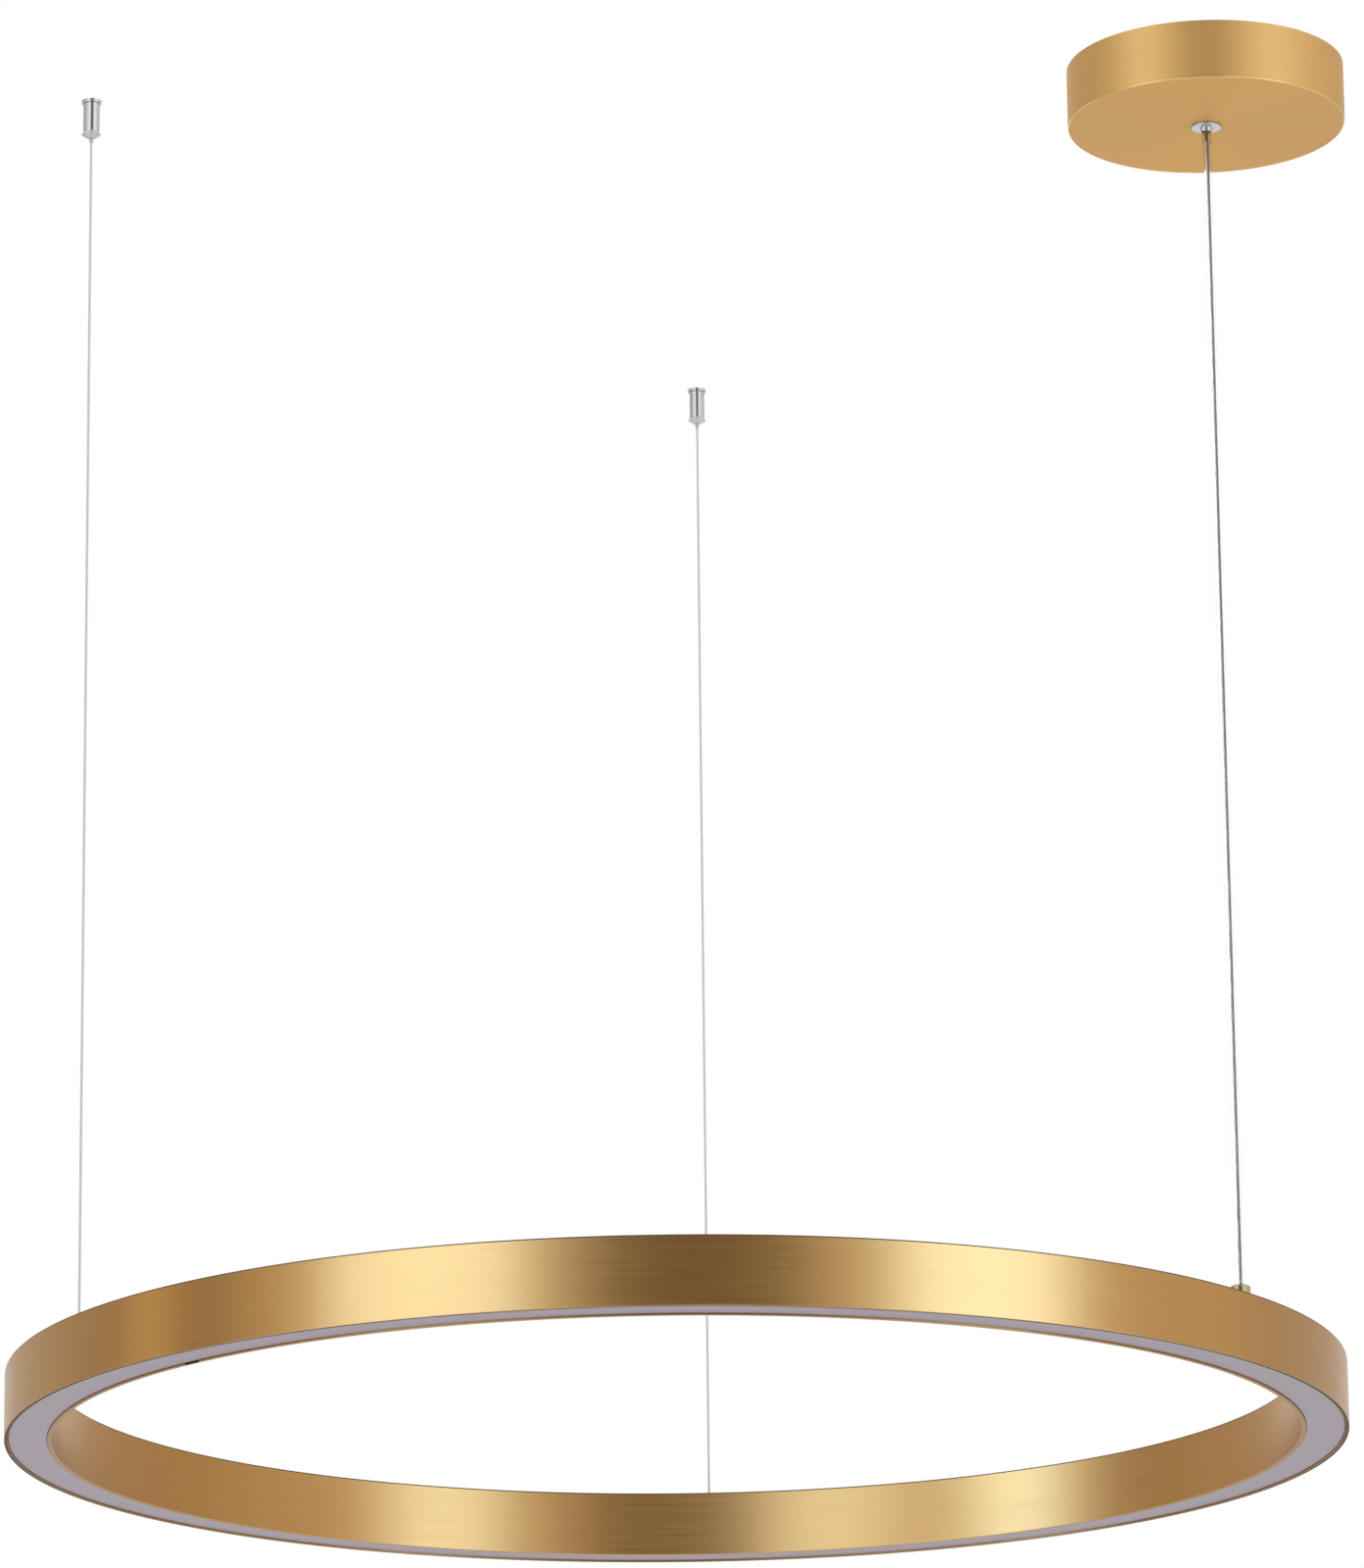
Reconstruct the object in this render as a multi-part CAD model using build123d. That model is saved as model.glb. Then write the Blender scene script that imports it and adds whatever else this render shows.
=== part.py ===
from build123d import *
import os
from math import cos, degrees, pi, radians, sin, sqrt

# A flat LED ring hung from the ceiling by two steel wires and one clear power cable.
# The ceiling is the plane z = 0 and the origin is the middle of the canopy's ceiling plate.
# All sizes are millimetres.

# Ring: a rolled U-channel, open below
RING_DIAMETER = 800.0
RING_WIDTH = 28.0
RING_HEIGHT = 40.0
RING_WALL = 1.6
RING_WEB = 2.0
LIP_REACH = 0.8
LIP_HEIGHT = 2.6
DROP = 790.0

# Diffuser: an opal strip that is pressed in past the channel's lips and lies on them
DIFFUSER_THICKNESS = 2.0
DIFFUSER_SIDE_GAP = 0.3
DIFFUSER_SEAM = 0.4
DIFFUSER_SEAM_ANGLE = 222.0

# LED boards on the underside of the channel's web
BOARD_WIDTH = 12.0
BOARD_THICKNESS = 1.6
BOARD_GAP = 60.0
CHIP_LENGTH = 3.5
CHIP_WIDTH = 2.8
CHIP_HEIGHT = 0.8
CHIPS_PER_BOARD = 16

# The three suspension points, a third of a turn apart
THIRD_TURN = 120.0
FAR_ANGLE = 90.0
LEFT_ANGLE = FAR_ANGLE + THIRD_TURN
CABLE_ANGLE = LEFT_ANGLE + THIRD_TURN

# Wires and power cable
WIRE_DIAMETER = 1.5
CABLE_DIAMETER = 5.0
CORE_DIAMETER = 1.5
CORE_TAIL = 3.0
CABLE_TAIL = 3.0
SLIDING_GAP = 0.05
CRIMP_GAP = 0.02

# Canopy cover and ceiling plate
CANOPY_DIAMETER = 165.0
CANOPY_HEIGHT = 36.0
CANOPY_WALL = 1.2
CANOPY_EDGE = 0.8
PLATE_EDGE_GAP = 8.3
PLATE_THICKNESS = 1.5
PLATE_CABLE_HOLE = 14.0
SLOT_SPACING = 96.0
SLOT_WIDTH = 5.0
SLOT_LENGTH = 14.0
TAB_WIDTH = 16.0
TAB_DEPTH = 16.0
TAB_GAP = 0.3
TAB_BEND = 3.0
CANOPY_SCREW_DIAMETER = 3.0
CANOPY_SCREW_DEPTH = 8.0
SCREW_GAP = 0.1

# LED driver under the plate
DRIVER_LENGTH = 84.0
DRIVER_WIDTH = 36.0
DRIVER_HEIGHT = 24.0
DRIVER_WALL = 1.8
DRIVER_EDGE_GAP = 0.6
DRIVER_BASE = 2.0
EAR_LENGTH = 10.0
EAR_WIDTH = 12.0
DRIVER_POST_SIZE = 4.0
DRIVER_POST_HEIGHT = 3.0
DRIVER_BOARD_MARGIN = 2.0
DRIVER_BOARD_THICKNESS = 1.6
TRANSFORMER_SIZE = 16.0
TRANSFORMER_HEIGHT = 11.0
CAPACITOR_WIDTH = 8.0
CAPACITOR_HEIGHT = 12.0
COMPONENT_SPACING = 16.0
LEAD_NOTCH = 5.0

# Screws into the plate
PLATE_SCREW_DIAMETER = 3.0
PLATE_SCREW_HEAD = 5.5
PLATE_SCREW_HEAD_HEIGHT = 1.8
EARTH_SCREW_DIAMETER = 4.0
EARTH_SCREW_HEAD = 8.0
EARTH_SCREW_HEAD_HEIGHT = 2.6
EARTH_SCREW_EDGE_GAP = 18.0
EARTH_SCREW_ANGLE = -35.0

# Mains terminal block, with a push-in clamp for each pole
POLE_COUNT = 3
POLE_PITCH = 10.0
TERMINAL_WIDTH = 17.0
TERMINAL_HEIGHT = 13.0
TERMINAL_EDGE_GAP = 19.5
CLAMP_SIZE = 6.0
CLAMP_OPENING = 4.0
CLAMP_SETBACK = 1.5

# Cord grip in the canopy floor
GRIP_FLANGE_DIAMETER = 18.0
GRIP_FLANGE_THICKNESS = 1.6
GRIP_FLANGE_EDGE = 0.6
GRIP_COLLAR_DIAMETER = 7.6
GRIP_COLLAR_HEIGHT = 2.4
GRIP_DOME_DIAMETER = 6.8
GRIP_DOME_HEIGHT = 0.8
GRIP_BARREL_DIAMETER = 6.0
GRIP_BARREL_LENGTH = 7.0
GRIP_STEM_DIAMETER = 8.0
GRIP_STEM_END = 1.5
GRIP_WASHER_DIAMETER = 16.0
GRIP_WASHER_THICKNESS = 1.0
GRIP_NUT_WIDTH = 13.0
GRIP_NUT_HEIGHT = 5.0
STOP_COLLAR_WIDTH = 11.0
STOP_COLLAR_HEIGHT = 8.0

# Cable gland on top of the ring
GLAND_DIAMETER = 11.7
GLAND_HEIGHT = 8.6
GLAND_SHOULDER = 7.4
GLAND_NOSE_DIAMETER = 7.6
GLAND_STEM_DIAMETER = 8.0
GLAND_NUT_WIDTH = 13.0
GLAND_NUT_HEIGHT = 4.0
GLAND_STEM_END = 1.0
CORE_STOP_WIDTH = 7.0
CORE_STOP_LENGTH = 7.0

# Wire bushes on top of the ring
BUSH_FLANGE_DIAMETER = 7.0
BUSH_FLANGE_HEIGHT = 2.0
BUSH_RIM = 0.8
BUSH_NOSE_DIAMETER = 2.8
BUSH_STEM_DIAMETER = 5.0
BUSH_NUT_WIDTH = 8.0
BUSH_NUT_HEIGHT = 2.7
BUSH_STEM_END = 0.8
BUSH_BORE_GAP = 0.1
WIRE_STOP_WIDTH = 4.0
WIRE_STOP_LENGTH = 6.0
WIRE_END = 0.5

# Ceiling anchors: base, sleeve with a tapered bore, gripping jaws, spring and release nozzle
ANCHOR_FLANGE_DIAMETER = 12.2
ANCHOR_FLANGE_THICKNESS = 2.0
ANCHOR_STUD_DIAMETER = 7.0
ANCHOR_STUD_LENGTH = 7.0
ANCHOR_TAP_DIAMETER = 3.3
ANCHOR_TAP_DEPTH = 7.0
SLEEVE_DIAMETER = 10.0
SLEEVE_LENGTH = 18.5
SLEEVE_LIP_DIAMETER = 12.0
SLEEVE_FLARE_HEIGHT = 1.1
SLEEVE_CONE_HEIGHT = 2.4
SLEEVE_CONE_END = 4.6
SLEEVE_FLOOR = 2.5
TAPER_LENGTH = 8.0
TAPER_END_DIAMETER = 3.7
NOZZLE_DIAMETER = 2.5
NOZZLE_REACH = 2.3
NOZZLE_COLLAR_GAP = 0.15
NOZZLE_COLLAR_HEIGHT = 0.5
NOZZLE_SEAT_GAP = 0.05
JAW_COUNT = 3
JAW_SPAN = 100.0
JAW_LENGTH = 5.0
JAW_GAP = 0.04
SPRING_WIRE = 0.5
SPRING_DIAMETER = 4.2
SPRING_TURNS = 2
QUARTERS = 4
WIRE_TOP_GAP = 1.5

# Places that follow from the sizes above
RING_RADIUS = RING_DIAMETER / 2
RING_MIDDLE = RING_RADIUS - RING_WIDTH / 2
RING_BOTTOM = -DROP
RING_TOP = RING_BOTTOM + RING_HEIGHT
WEB_UNDERSIDE = RING_TOP - RING_WEB
RING_CENTRE = (-RING_MIDDLE * cos(radians(CABLE_ANGLE)), -RING_MIDDLE * sin(radians(CABLE_ANGLE)))
CANOPY_FLOOR = -CANOPY_HEIGHT
CANOPY_INSIDE = CANOPY_DIAMETER / 2 - CANOPY_WALL
PLATE_UNDERSIDE = -PLATE_THICKNESS
PLATE_RADIUS = CANOPY_INSIDE - PLATE_EDGE_GAP
DRIVER_CORNER_RADIUS = PLATE_RADIUS - DRIVER_EDGE_GAP
DRIVER_OFFSET = sqrt(DRIVER_CORNER_RADIUS**2 - (DRIVER_LENGTH / 2) ** 2) - DRIVER_WIDTH / 2
TERMINAL_OFFSET = PLATE_RADIUS - TERMINAL_EDGE_GAP - TERMINAL_WIDTH / 2
EARTH_SCREW_RADIUS = PLATE_RADIUS - EARTH_SCREW_EDGE_GAP
UP = (Align.CENTER, Align.CENTER, Align.MIN)
DOWN = (Align.CENTER, Align.CENTER, Align.MAX)


def ring_point(angle):
    """The point on the channel's middle line at an angle, as (x, y)."""
    x = RING_CENTRE[0] + RING_MIDDLE * cos(radians(angle))
    y = RING_CENTRE[1] + RING_MIDDLE * sin(radians(angle))
    return x, y


def turned(points, at=(0, 0), turn=360.0):
    """A solid turned about the vertical axis through `at`, from (radius, height) corners."""
    face = make_face(Polyline(*points, close=True))
    return Pos(at[0], at[1], 0) * revolve(Plane.XZ * face, Axis.Z, turn)


def rod(diameter, bottom, top, at=(0, 0)):
    return Pos(at[0], at[1], bottom) * Cylinder(diameter / 2, top - bottom, align=UP)


def tube(outer, inner, bottom, top, at=(0, 0)):
    return rod(outer, bottom, top, at) - rod(inner, bottom, top, at)


def block(length, width, bottom, top, at=(0, 0)):
    return Pos(at[0], at[1], bottom) * Box(length, width, top - bottom, align=UP)


def hex_nut(width, bore, bottom, top, at=(0, 0)):
    outline = RegularPolygon(width / 2, 6, major_radius=False)
    body = Pos(at[0], at[1], bottom) * extrude(outline, top - bottom)
    return body - rod(bore, bottom, top, at)


def hex_screw(diameter, head, head_height, seat, tip, at=(0, 0)):
    """A hexagon-head screw driven upwards: its head is below `seat` and its shank ends at `tip`."""
    outline = RegularPolygon(head / 2, 6, major_radius=False)
    return rod(diameter, seat, tip, at) + Pos(at[0], at[1], seat) * extrude(outline, -head_height)


# Ring

def ring_channel():
    """The rolled U-section: two walls, a web on top and a lip along the bottom of each wall."""
    outer = RING_RADIUS
    inner = RING_RADIUS - RING_WIDTH
    lip_top = RING_BOTTOM + LIP_HEIGHT
    lip_width = RING_WALL + LIP_REACH
    outline = [
        (outer, RING_BOTTOM),
        (outer, RING_TOP),
        (inner, RING_TOP),
        (inner, RING_BOTTOM),
        (inner + lip_width, RING_BOTTOM),
        (inner + lip_width, lip_top),
        (inner + RING_WALL, lip_top),
        (inner + RING_WALL, WEB_UNDERSIDE),
        (outer - RING_WALL, WEB_UNDERSIDE),
        (outer - RING_WALL, lip_top),
        (outer - lip_width, lip_top),
        (outer - lip_width, RING_BOTTOM),
    ]
    channel = turned(outline, RING_CENTRE)
    cable_hole = GLAND_STEM_DIAMETER + 2 * SCREW_GAP
    channel -= rod(cable_hole, WEB_UNDERSIDE, RING_TOP, ring_point(CABLE_ANGLE))
    for angle in (LEFT_ANGLE, FAR_ANGLE):
        wire_hole = BUSH_STEM_DIAMETER + 2 * SCREW_GAP
        channel -= rod(wire_hole, WEB_UNDERSIDE, RING_TOP, ring_point(angle))
    return channel


def diffuser():
    """The flat opal strip, with a narrow seam where its ends meet."""
    low = RING_BOTTOM + LIP_HEIGHT
    high = low + DIFFUSER_THICKNESS
    outer = RING_RADIUS - RING_WALL - DIFFUSER_SIDE_GAP
    inner = RING_RADIUS - RING_WIDTH + RING_WALL + DIFFUSER_SIDE_GAP
    outline = [(inner, low), (outer, low), (outer, high), (inner, high)]
    seam = degrees(DIFFUSER_SEAM / RING_MIDDLE)
    strip = turned(outline, turn=360.0 - seam)
    return Pos(RING_CENTRE[0], RING_CENTRE[1], 0) * Rot(0, 0, DIFFUSER_SEAM_ANGLE) * strip


def board_span():
    """The angle that each LED board covers, between the gaps at the suspension points."""
    return THIRD_TURN - degrees(BOARD_GAP / RING_MIDDLE)


def led_board(start_angle):
    low = WEB_UNDERSIDE - BOARD_THICKNESS
    inner = RING_MIDDLE - BOARD_WIDTH / 2
    outer = RING_MIDDLE + BOARD_WIDTH / 2
    outline = [(inner, low), (outer, low), (outer, WEB_UNDERSIDE), (inner, WEB_UNDERSIDE)]
    first = start_angle + (THIRD_TURN - board_span()) / 2
    board = turned(outline, turn=board_span())
    return Pos(RING_CENTRE[0], RING_CENTRE[1], 0) * Rot(0, 0, first) * board


def led_chips():
    chips = []
    high = WEB_UNDERSIDE - BOARD_THICKNESS
    step = board_span() / CHIPS_PER_BOARD
    chip = Pos(RING_MIDDLE, 0, high) * Box(CHIP_WIDTH, CHIP_LENGTH, CHIP_HEIGHT, align=DOWN)
    centre = Pos(RING_CENTRE[0], RING_CENTRE[1], 0)
    for start_angle in (FAR_ANGLE, LEFT_ANGLE, CABLE_ANGLE):
        first = start_angle + (THIRD_TURN - board_span()) / 2 + step / 2
        for number in range(CHIPS_PER_BOARD):
            chips.append(centre * Rot(0, 0, first + number * step) * chip)
    return Compound(chips)


# Lower ends of the wires

def wire_bush(at):
    bore = WIRE_DIAMETER / 2 + BUSH_BORE_GAP
    stem = BUSH_STEM_DIAMETER / 2
    flange = BUSH_FLANGE_DIAMETER / 2
    end = bush_end()
    outline = [
        (bore, end),
        (stem, end),
        (stem, RING_TOP),
        (flange, RING_TOP),
        (flange, RING_TOP + BUSH_RIM),
        (BUSH_NOSE_DIAMETER / 2, RING_TOP + BUSH_FLANGE_HEIGHT),
        (bore, RING_TOP + BUSH_FLANGE_HEIGHT),
    ]
    return turned(outline, at)


def bush_end():
    return WEB_UNDERSIDE - BUSH_NUT_HEIGHT - BUSH_STEM_END


def bush_nut(at):
    bore = BUSH_STEM_DIAMETER + 2 * CRIMP_GAP
    return hex_nut(BUSH_NUT_WIDTH, bore, WEB_UNDERSIDE - BUSH_NUT_HEIGHT, WEB_UNDERSIDE, at)


def wire_stop(at):
    """A ferrule crimped to a hexagon on the wire's end, bearing on the bush."""
    bore = WIRE_DIAMETER + 2 * CRIMP_GAP
    return hex_nut(WIRE_STOP_WIDTH, bore, bush_end() - WIRE_STOP_LENGTH, bush_end(), at)


def suspension_wire(at):
    top = stud_end() - WIRE_TOP_GAP
    bottom = bush_end() - WIRE_STOP_LENGTH - WIRE_END
    return rod(WIRE_DIAMETER, bottom, top, at)


# Power cable and its fittings

def gland_end():
    return WEB_UNDERSIDE - GLAND_NUT_HEIGHT - GLAND_STEM_END


def cable_gland(at):
    bore = CABLE_DIAMETER / 2 + SLIDING_GAP
    stem = GLAND_STEM_DIAMETER / 2
    body = GLAND_DIAMETER / 2
    top = RING_TOP + GLAND_HEIGHT
    outline = [
        (bore, gland_end()),
        (stem, gland_end()),
        (stem, RING_TOP),
        (body, RING_TOP),
        (body, RING_TOP + GLAND_SHOULDER),
        (GLAND_NOSE_DIAMETER / 2, top),
        (bore, top),
    ]
    return turned(outline, at)


def gland_nut(at):
    bore = GLAND_STEM_DIAMETER + 2 * CRIMP_GAP
    return hex_nut(GLAND_NUT_WIDTH, bore, WEB_UNDERSIDE - GLAND_NUT_HEIGHT, WEB_UNDERSIDE, at)


def core_stop(at):
    bore = CORE_DIAMETER + 2 * CRIMP_GAP
    return hex_nut(CORE_STOP_WIDTH, bore, gland_end() - CORE_STOP_LENGTH, gland_end(), at)


def cable_top():
    return grip_stem_top() + STOP_COLLAR_HEIGHT + CABLE_TAIL


def power_cable_jacket():
    bore = CORE_DIAMETER + 2 * CRIMP_GAP
    return tube(CABLE_DIAMETER, bore, gland_end(), cable_top())


def power_cable_core():
    bottom = gland_end() - CORE_STOP_LENGTH - WIRE_END
    return rod(CORE_DIAMETER, bottom, cable_top() + CORE_TAIL)


def grip_stem_top():
    floor = CANOPY_FLOOR + CANOPY_WALL
    return floor + GRIP_WASHER_THICKNESS + GRIP_NUT_HEIGHT + GRIP_STEM_END


def cord_grip():
    """Flange, domed collar and barrel below the canopy, with a threaded stem through its floor."""
    bore = CABLE_DIAMETER / 2 + SLIDING_GAP
    flange = GRIP_FLANGE_DIAMETER / 2
    collar = GRIP_COLLAR_DIAMETER / 2
    barrel = GRIP_BARREL_DIAMETER / 2
    stem = GRIP_STEM_DIAMETER / 2
    flange_low = CANOPY_FLOOR - GRIP_FLANGE_THICKNESS
    collar_low = flange_low - GRIP_COLLAR_HEIGHT
    barrel_low = collar_low - GRIP_BARREL_LENGTH
    outline = [
        (bore, barrel_low),
        (barrel, barrel_low),
        (barrel, collar_low),
        (GRIP_DOME_DIAMETER / 2, collar_low + GRIP_DOME_HEIGHT),
        (collar, flange_low),
        (flange - GRIP_FLANGE_EDGE, flange_low),
        (flange, flange_low + GRIP_FLANGE_EDGE),
        (flange, CANOPY_FLOOR),
        (stem, CANOPY_FLOOR),
        (stem, grip_stem_top()),
        (bore, grip_stem_top()),
    ]
    return turned(outline)


def cord_grip_washer():
    floor = CANOPY_FLOOR + CANOPY_WALL
    bore = GRIP_STEM_DIAMETER + 2 * SCREW_GAP
    return tube(GRIP_WASHER_DIAMETER, bore, floor, floor + GRIP_WASHER_THICKNESS)


def cord_grip_nut():
    low = CANOPY_FLOOR + CANOPY_WALL + GRIP_WASHER_THICKNESS
    return hex_nut(GRIP_NUT_WIDTH, GRIP_STEM_DIAMETER + 2 * CRIMP_GAP, low, low + GRIP_NUT_HEIGHT)


def cable_stop_collar():
    """The collar that the cable hangs from, crimped to a hexagon on the jacket above the cord grip."""
    low = grip_stem_top()
    return hex_nut(STOP_COLLAR_WIDTH, CABLE_DIAMETER + 2 * CRIMP_GAP, low, low + STOP_COLLAR_HEIGHT)


# Canopy

def canopy_cover():
    radius = CANOPY_DIAMETER / 2
    hole = GRIP_STEM_DIAMETER / 2 + SCREW_GAP
    floor = CANOPY_FLOOR + CANOPY_WALL
    outline = [
        (hole, CANOPY_FLOOR),
        (radius - CANOPY_EDGE, CANOPY_FLOOR),
        (radius, CANOPY_FLOOR + CANOPY_EDGE),
        (radius, 0),
        (CANOPY_INSIDE, 0),
        (CANOPY_INSIDE, floor),
        (hole, floor),
    ]
    cup = turned(outline)
    for side in (1, -1):
        cup -= canopy_screw_axis(side) * Cylinder(canopy_screw_hole() / 2, CANOPY_DIAMETER, align=UP)
    return cup


def canopy_screw_hole():
    return CANOPY_SCREW_DIAMETER + 2 * SCREW_GAP


def canopy_screw_axis(side):
    """A frame whose z axis points outwards along a canopy screw, from the canopy's middle."""
    return Pos(0, 0, -CANOPY_SCREW_DEPTH) * Rot(0, 90 * side, 0)


def tab_face():
    """How far out the bent tabs' outer faces are, just inside the canopy's round wall."""
    return sqrt(CANOPY_INSIDE**2 - (TAB_WIDTH / 2) ** 2) - TAB_GAP


def canopy_screws():
    """Two grub screws, threaded in the tabs and flush with the canopy's wall."""
    start = tab_face() - 2 * PLATE_THICKNESS
    length = CANOPY_DIAMETER / 2 - SCREW_GAP - start
    screws = []
    for side in (1, -1):
        shank = Cylinder(CANOPY_SCREW_DIAMETER / 2, length, align=UP)
        screws.append(canopy_screw_axis(side) * Pos(0, 0, start) * shank)
    return Compound(screws)


def ceiling_plate():
    """A round plate with two slots for ceiling screws and a bent tab at each end for the canopy."""
    plate = rod(2 * PLATE_RADIUS, PLATE_UNDERSIDE, 0)
    reach = tab_face()
    corner = reach - PLATE_THICKNESS
    outline = [(0, 0), (reach, 0), (reach, -TAB_DEPTH), (corner, -TAB_DEPTH)]
    outline += [(corner, PLATE_UNDERSIDE), (0, PLATE_UNDERSIDE)]
    face = make_face(Polyline(*outline, close=True))
    face = fillet(face.vertices().sort_by_distance(Vector(reach, 0))[0], TAB_BEND)
    inner_bend = TAB_BEND - PLATE_THICKNESS
    face = fillet(face.vertices().sort_by_distance(Vector(corner, PLATE_UNDERSIDE))[0], inner_bend)
    strap = extrude(Plane.XZ * face, TAB_WIDTH / 2, both=True)
    slot = extrude(SlotOverall(SLOT_LENGTH, SLOT_WIDTH), -PLATE_THICKNESS)
    tapped = Cylinder(CANOPY_SCREW_DIAMETER / 2 + CRIMP_GAP, CANOPY_DIAMETER, align=UP)
    plate += strap + Rot(0, 0, 180) * strap
    plate -= rod(PLATE_CABLE_HOLE, PLATE_UNDERSIDE, 0)
    for side in (1, -1):
        plate -= Pos(side * SLOT_SPACING / 2, 0, 0) * slot
        plate -= canopy_screw_axis(side) * tapped
    for at in driver_screw_points() + [terminal_screw_point()]:
        plate -= rod(PLATE_SCREW_DIAMETER + 2 * CRIMP_GAP, PLATE_UNDERSIDE, 0, at)
    plate -= rod(EARTH_SCREW_DIAMETER + 2 * CRIMP_GAP, PLATE_UNDERSIDE, 0, earth_screw_point())
    return plate


# Driver

def driver_screw_points():
    offset = DRIVER_LENGTH / 2 + EAR_LENGTH / 2
    return [(offset, DRIVER_OFFSET), (-offset, DRIVER_OFFSET)]


def driver_base_low():
    return PLATE_UNDERSIDE - DRIVER_BASE


def driver_post_points():
    x = DRIVER_LENGTH / 2 - DRIVER_WALL - DRIVER_POST_SIZE
    y = DRIVER_WIDTH / 2 - DRIVER_WALL - DRIVER_POST_SIZE
    return [(sx * x, DRIVER_OFFSET + sy * y) for sx in (1, -1) for sy in (1, -1)]


def driver_base():
    """The driver's flat base with an ear at each end and four posts for the circuit board."""
    at = (0, DRIVER_OFFSET)
    low = driver_base_low()
    base = block(DRIVER_LENGTH, DRIVER_WIDTH, low, PLATE_UNDERSIDE, at)
    base += block(DRIVER_LENGTH + 2 * EAR_LENGTH, EAR_WIDTH, low, PLATE_UNDERSIDE, at)
    for post in driver_post_points():
        base += block(DRIVER_POST_SIZE, DRIVER_POST_SIZE, low - DRIVER_POST_HEIGHT, low, post)
    for hole in driver_screw_points():
        base -= rod(PLATE_SCREW_DIAMETER + 2 * SCREW_GAP, low, PLATE_UNDERSIDE, hole)
    return base


def driver_cover():
    """The driver's moulded cover, open towards the base, with a lead notch in each end."""
    at = (0, DRIVER_OFFSET)
    high = driver_base_low()
    low = PLATE_UNDERSIDE - DRIVER_HEIGHT
    cover = block(DRIVER_LENGTH, DRIVER_WIDTH, low, high, at)
    inside = (DRIVER_LENGTH - 2 * DRIVER_WALL, DRIVER_WIDTH - 2 * DRIVER_WALL)
    cover -= block(inside[0], inside[1], low + DRIVER_WALL, high, at)
    return cover - block(DRIVER_LENGTH, LEAD_NOTCH, high - LEAD_NOTCH, high, at)


def driver_board():
    high = driver_base_low() - DRIVER_POST_HEIGHT
    margin = 2 * (DRIVER_WALL + DRIVER_BOARD_MARGIN)
    size = (DRIVER_LENGTH - margin, DRIVER_WIDTH - margin)
    return block(size[0], size[1], high - DRIVER_BOARD_THICKNESS, high, (0, DRIVER_OFFSET))


def driver_components():
    """A wound transformer and two film capacitors, soldered under the circuit board."""
    high = driver_base_low() - DRIVER_POST_HEIGHT - DRIVER_BOARD_THICKNESS
    low = high - TRANSFORMER_HEIGHT
    parts = [block(TRANSFORMER_SIZE, TRANSFORMER_SIZE, low, high, (0, DRIVER_OFFSET))]
    for side in (1, -1):
        at = (side * COMPONENT_SPACING, DRIVER_OFFSET)
        parts.append(block(CAPACITOR_WIDTH, TRANSFORMER_SIZE, high - CAPACITOR_HEIGHT, high, at))
    return Compound(parts)


# Screws and terminals on the plate

def terminal_screw_point():
    return POLE_PITCH / 2, -TERMINAL_OFFSET


def earth_screw_point():
    angle = radians(EARTH_SCREW_ANGLE)
    return EARTH_SCREW_RADIUS * cos(angle), EARTH_SCREW_RADIUS * sin(angle)


def plate_screws():
    """Hexagon-head screws through the driver's ears and the terminal block, flush with the plate's top."""
    size = (PLATE_SCREW_DIAMETER, PLATE_SCREW_HEAD, PLATE_SCREW_HEAD_HEIGHT)
    screws = [hex_screw(*size, driver_base_low(), -SCREW_GAP, at) for at in driver_screw_points()]
    screws.append(hex_screw(*size, terminal_low(), -SCREW_GAP, terminal_screw_point()))
    return Compound(screws)


def earth_screw():
    size = (EARTH_SCREW_DIAMETER, EARTH_SCREW_HEAD, EARTH_SCREW_HEAD_HEIGHT)
    return hex_screw(*size, PLATE_UNDERSIDE, -SCREW_GAP, earth_screw_point())


def terminal_low():
    return PLATE_UNDERSIDE - TERMINAL_HEIGHT


def pole_points():
    first = -(POLE_COUNT - 1) / 2 * POLE_PITCH
    return [(first + number * POLE_PITCH, -TERMINAL_OFFSET) for number in range(POLE_COUNT)]


def clamp_middle():
    return PLATE_UNDERSIDE - TERMINAL_HEIGHT / 2


def terminal_block():
    """A three-pole block with a square channel through it for each clamp."""
    low = terminal_low()
    length = POLE_COUNT * POLE_PITCH
    body = block(length, TERMINAL_WIDTH, low, PLATE_UNDERSIDE, (0, -TERMINAL_OFFSET))
    channel = Box(CLAMP_SIZE + 2 * CRIMP_GAP, TERMINAL_WIDTH, CLAMP_SIZE + 2 * CRIMP_GAP)
    for x, y in pole_points():
        body -= Pos(x, y, clamp_middle()) * channel
    return body - rod(PLATE_SCREW_DIAMETER + 2 * SCREW_GAP, low, PLATE_UNDERSIDE, terminal_screw_point())


def terminal_clamps():
    length = TERMINAL_WIDTH - 2 * CLAMP_SETBACK
    clamp = Box(CLAMP_SIZE, length, CLAMP_SIZE) - Box(CLAMP_OPENING, length, CLAMP_OPENING)
    return Compound([Pos(x, y, clamp_middle()) * clamp for x, y in pole_points()])


# Ceiling anchors

def stud_end():
    return -ANCHOR_FLANGE_THICKNESS - ANCHOR_STUD_LENGTH


def sleeve_lip():
    """The height of the flared lip's sharp edge."""
    return -ANCHOR_FLANGE_THICKNESS - SLEEVE_LENGTH - SLEEVE_FLARE_HEIGHT


def sleeve_end():
    return sleeve_lip() - SLEEVE_CONE_HEIGHT


def taper_floor():
    return sleeve_end() + SLEEVE_FLOOR


def thread_radius():
    return ANCHOR_STUD_DIAMETER / 2 + CRIMP_GAP


def taper_radius(height):
    """The radius of the sleeve's tapered bore at a height."""
    slope = (thread_radius() - TAPER_END_DIAMETER / 2) / TAPER_LENGTH
    return TAPER_END_DIAMETER / 2 + slope * (height - taper_floor())


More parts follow.
